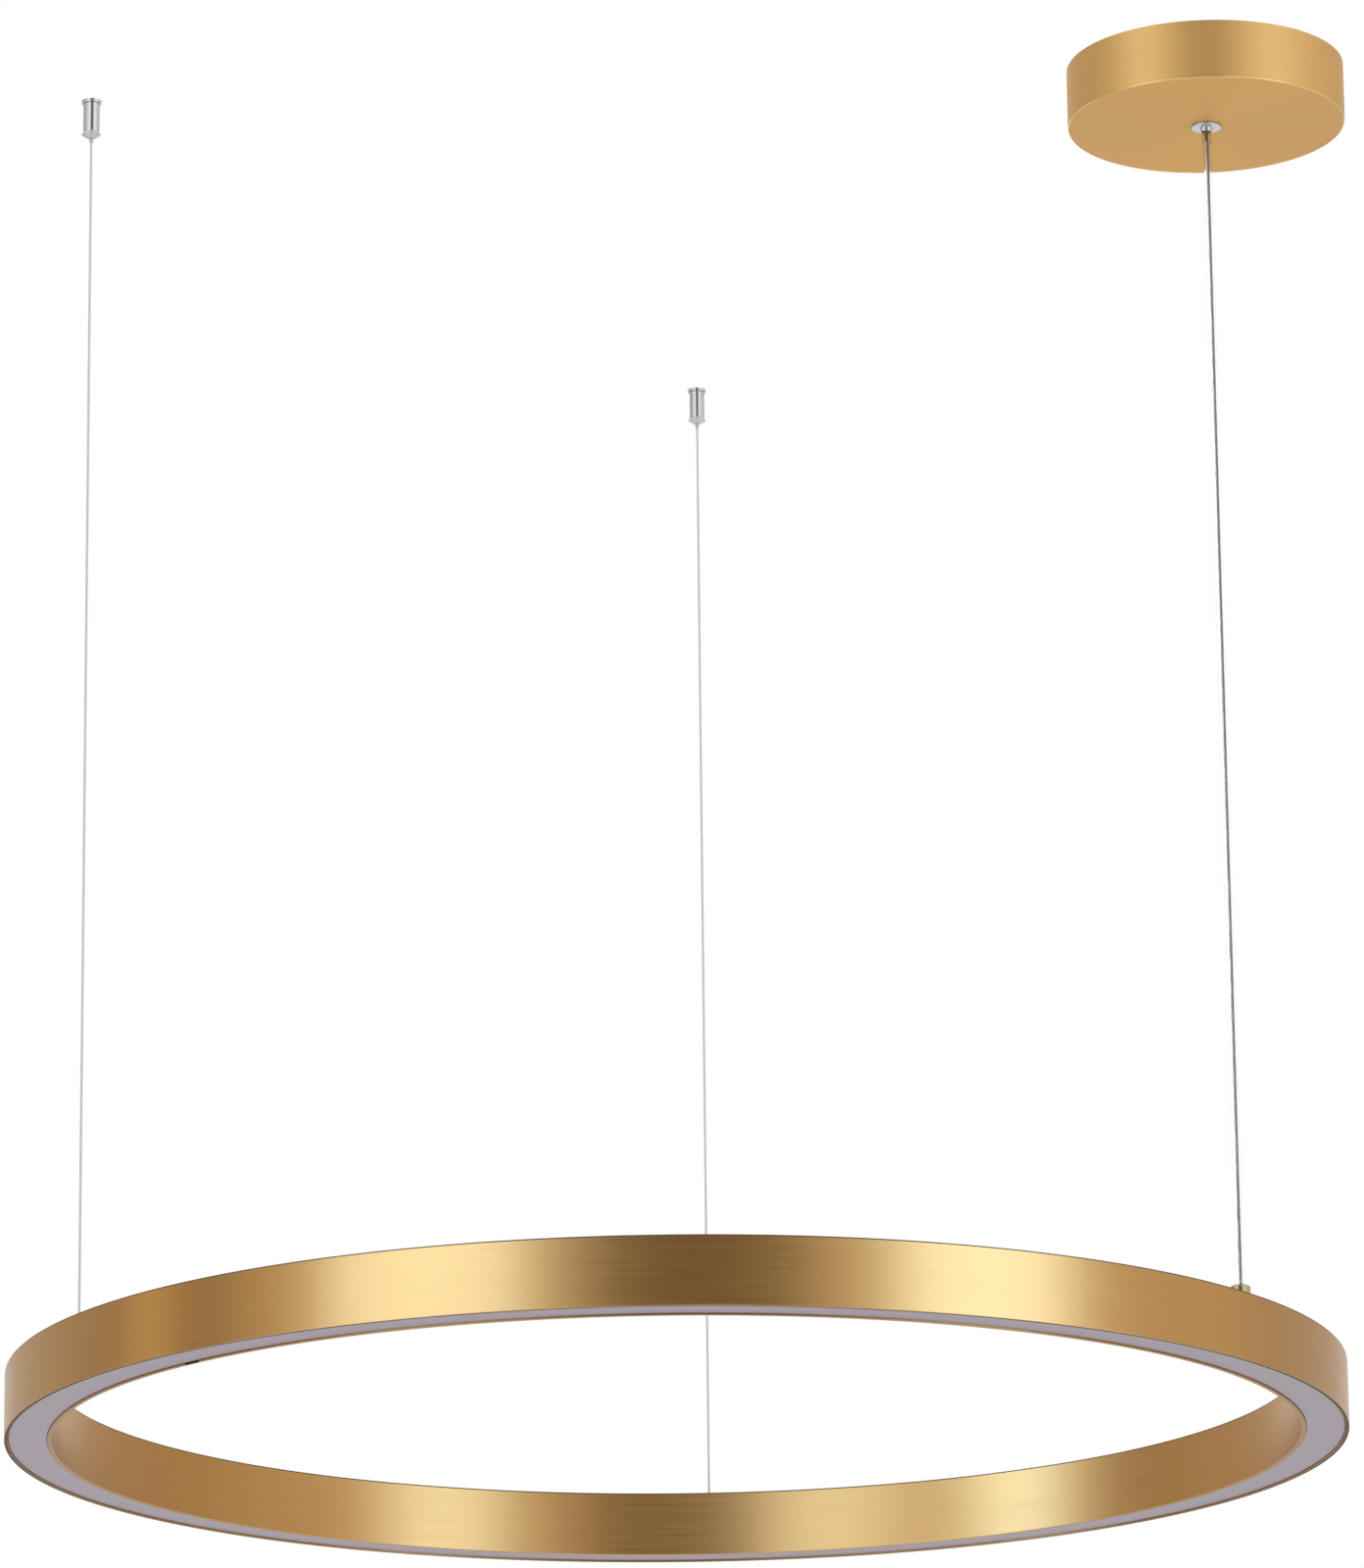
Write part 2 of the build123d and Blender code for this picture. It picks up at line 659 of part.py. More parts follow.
def anchor_base(at):
    """A flange against the ceiling, with a threaded stud below it and a tapped hole from above."""
    flange = ANCHOR_FLANGE_DIAMETER / 2
    stud = ANCHOR_STUD_DIAMETER / 2
    tap = ANCHOR_TAP_DIAMETER / 2
    outline = [
        (0, stud_end()),
        (stud, stud_end()),
        (stud, -ANCHOR_FLANGE_THICKNESS),
        (flange, -ANCHOR_FLANGE_THICKNESS),
        (flange, 0),
        (tap, 0),
        (tap, -ANCHOR_TAP_DEPTH),
        (0, -ANCHOR_TAP_DEPTH),
    ]
    return turned(outline, at)


def anchor_sleeve(at):
    """The sleeve that screws onto the base, flared at its lower lip, with the tapered bore inside."""
    top = -ANCHOR_FLANGE_THICKNESS
    lip = sleeve_lip()
    exit_hole = NOZZLE_DIAMETER / 2 + SLIDING_GAP
    outline = [
        (SLEEVE_DIAMETER / 2, top),
        (SLEEVE_DIAMETER / 2, lip + SLEEVE_FLARE_HEIGHT),
        (SLEEVE_LIP_DIAMETER / 2, lip),
        (SLEEVE_CONE_END / 2, sleeve_end()),
        (exit_hole, sleeve_end()),
        (exit_hole, taper_floor()),
        (TAPER_END_DIAMETER / 2, taper_floor()),
        (thread_radius(), taper_floor() + TAPER_LENGTH),
        (thread_radius(), top),
    ]
    return turned(outline, at)


def jaw_low():
    return taper_floor() + NOZZLE_SEAT_GAP + NOZZLE_COLLAR_HEIGHT


def release_nozzle(at):
    """The tube below the sleeve. Pushed up, its collar lifts the jaws and frees the wire."""
    bore = WIRE_DIAMETER / 2 + SLIDING_GAP
    nozzle = NOZZLE_DIAMETER / 2
    collar = TAPER_END_DIAMETER / 2 - NOZZLE_COLLAR_GAP
    tip = sleeve_end() - NOZZLE_REACH
    collar_low = taper_floor() + NOZZLE_SEAT_GAP
    outline = [
        (bore, tip),
        (nozzle, tip),
        (nozzle, collar_low),
        (collar, collar_low),
        (collar, jaw_low()),
        (bore, jaw_low()),
    ]
    return turned(outline, at)


def grip_jaws(at):
    """Three wedges between the tapered bore and the wire, resting on the nozzle's collar."""
    high = jaw_low() + JAW_LENGTH
    bore = WIRE_DIAMETER / 2 + JAW_GAP
    outline = [
        (bore, jaw_low()),
        (taper_radius(jaw_low()) - JAW_GAP, jaw_low()),
        (taper_radius(high) - JAW_GAP, high),
        (bore, high),
    ]
    jaw = turned(outline, turn=JAW_SPAN)
    turns = [number * 360.0 / JAW_COUNT for number in range(JAW_COUNT)]
    return Compound([Pos(at[0], at[1], 0) * Rot(0, 0, turn) * jaw for turn in turns])


def helix_point(radius, pitch, bottom, turn):
    """A point on a helix and its direction there, after a number of turns."""
    angle = 2 * pi * turn
    point = Vector(radius * cos(angle), radius * sin(angle), bottom + pitch * turn)
    direction = Vector(-radius * sin(angle), radius * cos(angle), pitch / (2 * pi)).normalized()
    return point, direction


def biarc(start, start_direction, end, end_direction):
    """Two arcs that leave `start` and reach `end` in the given directions."""
    chord = end - start
    total = start_direction + end_direction
    bend = 2 * (1 - start_direction.dot(end_direction))
    along = chord.dot(total)
    reach = (sqrt(along**2 + bend * chord.dot(chord)) - along) / bend
    first = start + start_direction * reach
    last = end - end_direction * reach
    middle = (first + last) * 0.5
    return [
        Edge.make_tangent_arc(start, start_direction, middle),
        Edge.make_tangent_arc(middle, (last - first).normalized(), end),
    ]


def release_spring(at):
    """A coil spring of square wire that presses the jaws down from the base's stud."""
    low = jaw_low() + JAW_LENGTH + SPRING_WIRE + SLIDING_GAP
    high = stud_end() - SPRING_WIRE - SLIDING_GAP
    radius = (SPRING_DIAMETER - SPRING_WIRE) / 2
    pitch = (high - low) / SPRING_TURNS
    edges = []
    for step in range(SPRING_TURNS * QUARTERS):
        start = helix_point(radius, pitch, low, step / QUARTERS)
        end = helix_point(radius, pitch, low, (step + 1) / QUARTERS)
        edges += biarc(*start, *end)
    path = Wire(edges)
    plane = Plane(origin=path @ 0, x_dir=(1, 0, 0), z_dir=path % 0)
    return Pos(at[0], at[1], 0) * sweep(plane * Rectangle(SPRING_WIRE, SPRING_WIRE), path)


# All pieces by name

def build_nodes():
    cable = ring_point(CABLE_ANGLE)
    nodes = {
        "ceiling_plate": ceiling_plate(),
        "canopy_cover": canopy_cover(),
        "canopy_screws": canopy_screws(),
        "driver_base": driver_base(),
        "driver_cover": driver_cover(),
        "driver_board": driver_board(),
        "driver_components": driver_components(),
        "plate_screws": plate_screws(),
        "earth_screw": earth_screw(),
        "terminal_block": terminal_block(),
        "terminal_clamps": terminal_clamps(),
        "cord_grip": cord_grip(),
        "cord_grip_washer": cord_grip_washer(),
        "cord_grip_nut": cord_grip_nut(),
        "cable_stop_collar": cable_stop_collar(),
        "power_cable_jacket": power_cable_jacket(),
        "power_cable_core": power_cable_core(),
        "ring_channel": ring_channel(),
        "diffuser": diffuser(),
        "led_board_left": led_board(FAR_ANGLE),
        "led_board_front": led_board(LEFT_ANGLE),
        "led_board_right": led_board(CABLE_ANGLE),
        "led_chips": led_chips(),
        "cable_gland": cable_gland(cable),
        "gland_nut": gland_nut(cable),
        "core_stop": core_stop(cable),
    }
    for side, angle in (("left", LEFT_ANGLE), ("far", FAR_ANGLE)):
        at = ring_point(angle)
        nodes[f"anchor_base_{side}"] = anchor_base(at)
        nodes[f"anchor_sleeve_{side}"] = anchor_sleeve(at)
        nodes[f"release_nozzle_{side}"] = release_nozzle(at)
        nodes[f"grip_jaws_{side}"] = grip_jaws(at)
        nodes[f"release_spring_{side}"] = release_spring(at)
        nodes[f"suspension_wire_{side}"] = suspension_wire(at)
        nodes[f"wire_bush_{side}"] = wire_bush(at)
        nodes[f"bush_nut_{side}"] = bush_nut(at)
        nodes[f"wire_stop_{side}"] = wire_stop(at)
    return nodes


os.makedirs("parts", exist_ok=True)
for name, solid in build_nodes().items():
    export_step(solid, f"parts/{name}.step")
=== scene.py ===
from math import atan2, cos, hypot, pi, radians, sin, tau

import bmesh
import bpy
from mathutils import Matrix, Vector


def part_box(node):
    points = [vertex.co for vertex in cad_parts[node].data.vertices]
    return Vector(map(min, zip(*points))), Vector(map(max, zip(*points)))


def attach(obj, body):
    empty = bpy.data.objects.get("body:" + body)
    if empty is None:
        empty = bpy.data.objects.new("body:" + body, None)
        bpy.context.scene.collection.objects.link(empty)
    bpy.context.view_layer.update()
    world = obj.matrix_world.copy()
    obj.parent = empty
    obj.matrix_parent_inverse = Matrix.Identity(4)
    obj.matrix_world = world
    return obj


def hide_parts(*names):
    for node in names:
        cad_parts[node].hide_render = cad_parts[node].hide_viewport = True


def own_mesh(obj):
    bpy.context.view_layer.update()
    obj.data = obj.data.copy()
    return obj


# A brushed gold LED ring that hangs from two steel wires and a clear power cable.
# The object's sizes are in millimetres, and its heights are measured from the ceiling, which is z = 0.

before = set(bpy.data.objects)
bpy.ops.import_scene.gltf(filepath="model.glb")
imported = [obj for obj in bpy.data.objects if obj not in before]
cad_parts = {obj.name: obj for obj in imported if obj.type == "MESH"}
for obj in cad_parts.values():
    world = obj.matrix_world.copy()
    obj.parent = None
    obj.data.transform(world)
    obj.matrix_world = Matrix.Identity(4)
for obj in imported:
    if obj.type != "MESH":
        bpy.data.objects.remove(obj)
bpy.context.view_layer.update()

MM = 0.001

# Ring: a rolled channel, open below
RING_RADIUS = 400.0
RING_WIDTH = 28.0
RING_WALL = 1.6
RING_WEB = 2.0
LIP_WIDTH = 2.4
LIP_HEIGHT = 2.6
GROOVE_HEIGHT = 0.8
GROOVE_DEPTH = 0.4
RING_EDGE = 0.35
RING_TOP_EDGE = 0.9
LIP_EDGE = 0.2
NOTCH_ANGLE = radians(226)
NOTCH_LENGTH = 12.0
NOTCH_DEPTH = 1.2
NOTCH_HEIGHT = 3.0
RING_SIDES = 360

# Diffuser: an opal strip that lies on the channel's lips and drops between them, with one butt seam
DIFFUSER_SIDE_GAP = 0.3
DIFFUSER_RECESS = 1.0
DIFFUSER_SEAM = 0.4
DIFFUSER_SEAM_ANGLE = radians(222)
DIFFUSER_EDGE = 0.25

# Canopy: a spun cup against the ceiling
CANOPY_RADIUS = 82.5
CANOPY_WALL = 1.2
CANOPY_EDGE = 1.2
CANOPY_RIM = 0.3
CANOPY_HOLE = 4.1
CANOPY_SIDES = 240
CANOPY_BEVEL_STEPS = 4
GRUB_HOLE = 1.6
GRUB_HOLE_DEPTH = 4.0
GRUB_HOLE_SIDES = 48

# Cord grip under the canopy
GRIP_FLANGE = 9.0
GRIP_FLANGE_THICKNESS = 1.6
GRIP_FLANGE_EDGE = 0.6
GRIP_COLLAR = 3.8
GRIP_DOME = 3.4
GRIP_DOME_HEIGHT = 0.8
GRIP_DOME_EDGE = 0.5
GRIP_BARREL = 3.0
GRIP_BARREL_LENGTH = 7.0
GRIP_STEM = 4.0
CABLE_BORE = 2.55

# Cable gland on the ring
GLAND_RADIUS = 5.85
GLAND_SHOULDER_EDGE = 0.5
GLAND_NOSE = 3.8
GLAND_NOSE_EDGE = 0.4
GLAND_CONE = 1.2
GLAND_STEM = 4.0

# Wire bushes on the ring
BUSH_FLANGE = 3.5
BUSH_NOSE = 1.4
BUSH_RIM = 0.8
BUSH_STEM = 2.5
BUSH_BORE = 0.85

# Ceiling anchors: a base, a sleeve with a tapered bore, a release nozzle and its spring
ANCHOR_FLANGE = 6.1
ANCHOR_FLANGE_THICKNESS = 2.0
ANCHOR_FLANGE_EDGE = 0.3
ANCHOR_STUD = 3.5
ANCHOR_TAP = 1.65
ANCHOR_TAP_DEPTH = 7.0
ANCHOR_TAP_TIP = 0.05
SLEEVE_RADIUS = 5.0
SLEEVE_LIP = 6.0
SLEEVE_FLARE = 1.1
SLEEVE_FLARE_EDGE = 0.6
SLEEVE_CONE = 2.4
SLEEVE_CONE_END = 2.3
SLEEVE_CONE_EDGE = 0.4
SLEEVE_EXIT = 1.3
SLEEVE_FLOOR = 2.5
TAPER_LOW = 1.85
TAPER_HIGH = 3.52
TAPER_LENGTH = 8.0
NOZZLE_RADIUS = 1.25
NOZZLE_BORE = 0.8
NOZZLE_COLLAR = 1.7
NOZZLE_COLLAR_HEIGHT = 0.5
SPRING_WIRE = 0.5
SPRING_WIRE_SIDES = 12
SPRING_RADIUS = 1.85
SPRING_TURNS = 4
SPRING_STEPS = 48

# What the turned fittings share
SMALL_SIDES = 64
FINE_EDGE = 0.2
BEVEL_STEPS = 3

# Wires and cable
WIRE_DIAMETER = 1.5
ROPE_STRANDS = 12
STRAND_POINTS = 5
STRAND_BULGE = radians(36)
ROPE_LAY = 14.0
ROPE_STEPS = 400
CABLE_DIAMETER = 5.0
CORE_DIAMETER = 1.5
JACKET_WALL = 2.0
JACKET_STEPS = 60
JACKET_ROUNDNESS = 6

# Rounded corners with a painted highlight or painted shade of their own: the least and most rise of their
# faces' normals
LIP_CORNER_RISE = (-0.9, -0.4)
UPPER_CORNER_RISE = (0.2, 0.95)
CANOPY_CORNER_RISE = (-0.95, -0.3)

# Most values of a noise pattern lie between these two
NOISE_LOW = 0.3
NOISE_HIGH = 0.7

# Limits of the modelling, the last two in metres
SMOOTH_ANGLE = radians(32)
MERGE_DISTANCE = 1e-6
PLACE_TOLERANCE = 2e-5

# Camera, fitted to the edges of the ring, the canopy and the wires: place in metres, lens in mm
CAMERA_PLACE = (-0.085, -4.521, -1.702)
CAMERA_TURN = radians(2.94)
CAMERA_TILT = radians(15.63)
CAMERA_ROLL = radians(-0.60)
CAMERA_LENS = 184.5
CAMERA_REACH = 100.0

# Studio in metres
WHITE = "#FFFFFF"
FLOOR_HEIGHT = -2.5
FLOOR_SIZE = 60.0
FLOOR_TONE = "#F2F2F2"
FILL_LEVEL = 0.5

# Softboxes, fitted to the light along the ring and cable: two ends in plan, then foot and head
PANELS = {
    "right": ((2.177, -2.939), (1.388, -0.601), -1.65, 1.8),
    "left": ((-1.043, -0.502), (-0.699, -0.926), -1.0, 1.2),
    "strip": ((-2.328, -0.068), (-1.117, -0.068), -1.2, 1.4),
}
STREAK_PANEL = ((-2.4, 0.24), (-2.4, 0.02), -1.2, 1.4)
GLINT_PANEL = ((-1.2, 0.12), (-0.88, -0.84), -0.8, 0.9)

# Each lamp's brightness as a mirror shows it, where 1 is the white of the room
PLAIN_LEVEL = 0.35
CANOPY_LEVEL = 1.0
RING_LEVELS = {"right": 5.8, "left": 4.6, "strip": 9.0}
STREAK_LEVEL = 1.0
GLINT_LEVEL = 18.0
CANOPY_LIGHT = "#AED9FF"
RING_LIGHT = "#8DBFFF"
STREAK_LIGHT = "#FFF3C0"

# The lamps of one panel stand a little behind each other
CANOPY_SETBACK = 0.03
PLAIN_SETBACK = 0.06

# Upright cloths that metal mirrors, fitted the same way: each one's two ends in plan and its tone
CLOTH_HEIGHT = 4.5
CLOTHS = {
    "front_cloth": ((-0.839, -2.4), (0.753, -2.4), "#84817C"),
    "before_streak_cloth": ((-2.4, -0.55), (-2.4, 0.02), "#A8A6A0"),
    "behind_streak_cloth": ((-2.4, 0.24), (-2.4, 0.60), "#B0AEA8"),
    "middle_left_cloth": ((-2.4, 0.60), (-2.4, 1.10), "#D7D5CF"),
    "far_left_cloth": ((-2.4, 1.10), (-2.4, 3.577), "#E2DFD8"),
    "right_cloth": ((2.0, 1.0), (2.0, 5.0), "#E4E1DA"),
}


# Places and travels read from the frame

def middle(node):
    low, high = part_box(node)
    return (low + high) / 2


def bottom(node):
    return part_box(node)[0].z / MM


def top(node):
    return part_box(node)[1].z / MM


left_point = middle("suspension_wire_left").xy
far_point = middle("suspension_wire_far").xy
cable_point = middle("power_cable_jacket").xy
ring_centre = (left_point + far_point + cable_point) / 3
wire_points = {"left": left_point, "far": far_point}


# Material helpers

def colour(code):
    """An sRGB hex colour as linear red, green, blue and alpha."""
    levels = [int(code[i:i + 2], 16) / 255 for i in (1, 3, 5)]
    return [c / 12.92 if c <= 0.04045 else ((c + 0.055) / 1.055) ** 2.4 for c in levels] + [1.0]


def add(tree, kind, inputs, **settings):
    """Adds a node with its settings, and sets or links its inputs."""
    made = tree.nodes.new(kind)
    for name, value in settings.items():
        setattr(made, name, value)
    for socket, value in inputs.items():
        if isinstance(value, bpy.types.NodeSocket):
            tree.links.new(value, made.inputs[socket])
        else:
            made.inputs[socket].default_value = value
    return made


def new_material(name):
    material = bpy.data.materials.new(name)
    material.use_nodes = True
    material.node_tree.nodes.clear()
    return material, material.node_tree


def surface(tree, inputs):
    """The main shader of a material, joined to its output."""
    shader = add(tree, "ShaderNodeBsdfPrincipled", inputs)
    add(tree, "ShaderNodeOutputMaterial", {"Surface": shader.outputs["BSDF"]})


def grain(tree, size, detail=2.0):
    """Even noise whose bumps are about `size` millimetres across."""
    position = add(tree, "ShaderNodeTexCoord", {}).outputs["Object"]
    inputs = {"Vector": position, "Scale": 1 / (size * MM), "Detail": detail}
    return add(tree, "ShaderNodeTexNoise", inputs).outputs["Fac"]


def uneven(tree, mottling, tones, polish, gloss):
    """Shader inputs of an uneven surface: one pattern mixes two tones, and one moves the roughness."""
    # A Mix node has its two colours at 6 and 7, and the mixed colour comes out at 2
    mixed = {0: mottling, 6: colour(tones[0]), 7: colour(tones[1])}
    base = add(tree, "ShaderNodeMix", mixed, data_type="RGBA")
    limits = {"From Min": NOISE_LOW, "From Max": NOISE_HIGH, "To Min": gloss[0], "To Max": gloss[1]}
    rough = add(tree, "ShaderNodeMapRange", {"Value": polish, **limits})
    return {"Base Color": base.outputs[2], "Roughness": rough.outputs["Result"]}


def metal(name, tones, gloss, size, detail=2.0):
    """Metal whose colour and roughness vary together, in spots about `size` millimetres across."""
    material, tree = new_material(name)
    spots = grain(tree, size, detail)
    surface(tree, {**uneven(tree, spots, tones, spots, gloss), "Metallic": 1.0})
    return material


# Materials

def brushed_gold(name, centre, tones, roughness, direction):
    """Brushed and lacquered metal: fine scratches run round the axis, so light smears across them."""
    streak_length = 70.0 * MM
    # Real scratches are about 0.1 mm apart, drawn coarser here so that they show in the picture
    streak_pitch = 0.8 * MM
    material, tree = new_material(name)
    position = add(tree, "ShaderNodeTexCoord", {}).outputs["Object"]
    shift = {"Vector": position, "Location": (-centre.x, -centre.y, 0)}
    centred = add(tree, "ShaderNodeMapping", shift).outputs["Vector"]
    crossed = add(tree, "ShaderNodeVectorMath", {0: (0, 0, 1), 1: centred}, operation="CROSS_PRODUCT")
    along = crossed.outputs["Vector"]
    normal = add(tree, "ShaderNodeNewGeometry", {}).outputs["Normal"]
    crossed = add(tree, "ShaderNodeVectorMath", {0: normal, 1: along}, operation="CROSS_PRODUCT")
    across = add(tree, "ShaderNodeVectorMath", {0: crossed.outputs["Vector"]}, operation="NORMALIZE")
    # The height and the distance from the axis both lead across the scratches
    reach = add(tree, "ShaderNodeVectorMath", {0: along}, operation="LENGTH").outputs["Value"]
    parts = add(tree, "ShaderNodeSeparateXYZ", {0: centred}).outputs
    depth = add(tree, "ShaderNodeMath", {0: parts["Z"], 1: reach}, operation="ADD").outputs[0]
    stretched = []
    for part, size in ((parts["X"], streak_length), (parts["Y"], streak_length), (depth, streak_pitch)):
        stretched.append(add(tree, "ShaderNodeMath", {0: part, 1: size}, operation="DIVIDE").outputs[0])
    pattern = add(tree, "ShaderNodeCombineXYZ", dict(enumerate(stretched))).outputs["Vector"]
    noise = add(tree, "ShaderNodeTexNoise", {"Vector": pattern, "Scale": 1.0, "Detail": 4.0})
    streaks = noise.outputs["Fac"]
    limits = {"From Min": NOISE_LOW, "From Max": NOISE_HIGH}
    contrast = add(tree, "ShaderNodeMapRange", {"Value": streaks, **limits}).outputs["Result"]
    bump = add(tree, "ShaderNodeBump", {"Strength": 0.05, "Distance": 0.02 * MM, "Height": streaks})
    surface(tree, {
        **uneven(tree, contrast, tones, streaks, (roughness - 0.04, roughness + 0.04)),
        "Metallic": 1.0,
        "Anisotropic": direction,
        "Tangent": across.outputs["Vector"],
        "Normal": bump.outputs["Normal"],
    })
    return material


def unbrushed_gold(name, tones, roughness):
    """Gilding that was never brushed, mottled in fine spots; some of its tones below are painted shade or
    painted highlights.
    """
    return metal(name, tones, (roughness - 0.05, roughness + 0.05), size=1.5, detail=3.0)


def bright_plate(name, tones):
    """Bright plating over turned brass: a near mirror, with the faint haze of handling."""
    return metal(name, tones, gloss=(0.06, 0.12), size=3.0)


def zinc_plate(name, tones):
    """Zinc-plated pressed steel: pale blue-grey with a soft spangle."""
    return metal(name, tones, gloss=(0.28, 0.42), size=5.0, detail=4.0)


def drawn_wire(name, tones):
    """Drawn wire, stainless or tinned: grey and slightly satin, uneven along its length."""
    return metal(name, tones, gloss=(0.54, 0.66), size=2.5, detail=3.0)


def bare_brass(name, tones):
    """Drawn brass, a little dull with tarnish."""
    return metal(name, tones, gloss=(0.26, 0.40), size=4.0, detail=3.0)


def opal_acrylic(name, tones):
    """Extruded opal acrylic with a satin skin: milky, and lit a little from within."""
    scatter = 2.0 * MM
    material, tree = new_material(name)
    cloud = grain(tree, size=45.0)
    skin = grain(tree, size=0.9, detail=3.0)
    bump = add(tree, "ShaderNodeBump", {"Strength": 0.08, "Distance": 0.02 * MM, "Height": skin})
    surface(tree, {
        **uneven(tree, cloud, tones, skin, gloss=(0.38, 0.46)),
        "IOR": 1.49,
        "Subsurface Weight": 0.25,
        "Subsurface Radius": (scatter, scatter, scatter),
        "Normal": bump.outputs["Normal"],
    })
    return material


def clear_pvc(name, tones):
    """Clear extruded PVC: see-through, with a faint unevenness in its gloss."""
    material, tree = new_material(name)
    skin = grain(tree, size=1.2)
    surface(tree, {
        **uneven(tree, skin, tones, skin, gloss=(0.02, 0.07)),
        "IOR": 1.53,
        "Transmission Weight": 1.0,
    })
    return material


def moulded_plastic(name, tones, roughness):
    """Moulded plastic with a fine spark-eroded grain."""
    material, tree = new_material(name)
    cloud = grain(tree, size=12.0)
    skin = grain(tree, size=0.6, detail=3.0)
    bump = add(tree, "ShaderNodeBump", {"Strength": 0.25, "Distance": 0.03 * MM, "Height": skin})
    surface(tree, {
        **uneven(tree, cloud, tones, skin, (roughness - 0.05, roughness + 0.05)),
        "IOR": 1.52,
        "Normal": bump.outputs["Normal"],
    })
    return material


ring_gold = brushed_gold("brushed_gold_aluminium", ring_centre, ("#B5874E", "#BA8D53"),
                         roughness=0.40, direction=0.75)
canopy_gold = brushed_gold("brushed_gold_steel", cable_point, ("#D5AA69", "#DCB170"),
                           roughness=0.60, direction=0.45)
lip_gold = unbrushed_gold("cut_gold_edge", ("#A48460", "#AE8E6A"), roughness=0.55)
# Painted shade: a dark gold for the outer lip's underside and the rounded upper corners of the walls
painted_shade_gold = unbrushed_gold("gold_painted_shade", ("#5A4528", "#665032"), roughness=0.60)
# Painted shade: matt gilding darkened for the inside of the channel, its grooves and the notch
painted_shade_inside = unbrushed_gold("matt_gold_inside_painted_shade", ("#5A4A36", "#64543F"), roughness=0.60)
# Painted highlight: a pale gold for the rounded lower corners of the ring's walls
painted_highlight_gold = unbrushed_gold("gold_edge_painted_highlight", ("#D6BA8A", "#E0C697"), roughness=0.30)
# Partly painted highlight: the canopy's rounded corner is glossier, which is real, and a lighter gold,
# which is painted highlight
polished_rim_painted_highlight = unbrushed_gold("polished_gold_rim_painted_highlight", ("#DDB878", "#E6C386"), roughness=0.17)
chrome = bright_plate("chrome_plated_brass", ("#BCBEC1", "#C8CACC"))
gilding = bright_plate("gold_plated_brass", ("#A89E76", "#B6AC84"))
zinc = zinc_plate("zinc_plated_steel", ("#A9AFB6", "#C9CDD2"))
wire_steel = drawn_wire("stainless_wire_rope", ("#D4D5D8", "#DEDFE2"))
core_strand = drawn_wire("tinned_copper_strand", ("#7E7B7D", "#8A8789"))
brass = bare_brass("bare_brass", ("#B08A45", "#CDAA63"))
opal = opal_acrylic("opal_acrylic", ("#C4B5C2", "#C8B9C6"))
pvc = clear_pvc("clear_pvc", ("#F6F8F7", "#FCFDFC"))
case_plastic = moulded_plastic("white_abs", ("#E6E5E0", "#EDECE8"), roughness=0.45)
board_mask = moulded_plastic("white_solder_mask", ("#EDEDE7", "#F2F2EE"), roughness=0.35)
driver_mask = moulded_plastic("green_solder_mask", ("#28613A", "#2F6C42"), roughness=0.35)
chip_resin = moulded_plastic("phosphor_resin", ("#E2C45C", "#EACF70"), roughness=0.30)
component_resin = moulded_plastic("black_epoxy_resin", ("#2A2A2C", "#343436"), roughness=0.40)

CAD_FINISHES = {
    "ceiling_plate": zinc,
    "canopy_screws": zinc,
    "plate_screws": zinc,
    "earth_screw": zinc,
    "cord_grip_washer": zinc,
    "cord_grip_nut": zinc,
    "cable_stop_collar": zinc,
    "gland_nut": zinc,
    "core_stop": zinc,
    "bush_nut_left": zinc,
    "bush_nut_far": zinc,
    "driver_base": case_plastic,
    "driver_cover": case_plastic,
    "terminal_block": case_plastic,
    "driver_board": driver_mask,
    "driver_components": component_resin,
    "terminal_clamps": brass,
    "grip_jaws_left": brass,
    "grip_jaws_far": brass,
    "led_board_left": board_mask,
    "led_board_front": board_mask,
    "led_board_right": board_mask,
    "led_chips": chip_resin,
    "wire_stop_left": wire_steel,
    "wire_stop_far": wire_steel,
}
for node_name, finish in CAD_FINISHES.items():
    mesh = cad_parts[node_name].data
    mesh.materials.clear()
    mesh.materials.append(finish)


# Modelling helpers

def select_only(piece):
    bpy.ops.object.select_all(action="DESELECT")
    bpy.context.view_layer.objects.active = piece
    piece.select_set(True)


def apply_modifier(piece, kind, **settings):
    bpy.context.view_layer.objects.active = piece
    modifier = piece.modifiers.new(kind.lower(), kind)
    for name, value in settings.items():
        setattr(modifier, name, value)
    bpy.ops.object.modifier_apply(modifier=modifier.name)


def cut_away(piece, cutter):
    """Takes the shape of a cutter out of a piece."""
    apply_modifier(piece, "BOOLEAN", object=cutter, operation="DIFFERENCE", solver="EXACT")
    bpy.data.objects.remove(cutter)


def close_mesh():
    """Merges doubled points and turns the faces outwards, in edit mode."""
    bpy.ops.mesh.select_all(action="SELECT")
    bpy.ops.mesh.remove_doubles(threshold=MERGE_DISTANCE)
    bpy.ops.mesh.normals_make_consistent(inside=False)


def pick(piece, kind, chosen):
    """Selects the points or edges of a piece whose points all pass a test, in edit mode."""
    bpy.ops.mesh.select_mode(type=kind)
    bpy.ops.mesh.select_all(action="DESELECT")
    shape = bmesh.from_edit_mesh(piece.data)
    for item in (shape.edges if kind == "EDGE" else shape.verts):
        points = item.verts if kind == "EDGE" else [item]
        if all(chosen(point.co) for point in points):
            item.select_set(True)
    bmesh.update_edit_mesh(piece.data)


def round_corner(piece, corner, steps):
    """Bevels the loop of edges at one corner of a turned outline, in edit mode."""
    radius, height, rounding = corner
    rise = height * MM - piece.location.z

    def at_corner(at):
        away = abs(hypot(at.x, at.y) - radius * MM)
        return away < PLACE_TOLERANCE and abs(at.z - rise) < PLACE_TOLERANCE

    pick(piece, "EDGE", at_corner)
    bpy.ops.mesh.bevel(offset=rounding * MM, segments=steps, affect="EDGES")


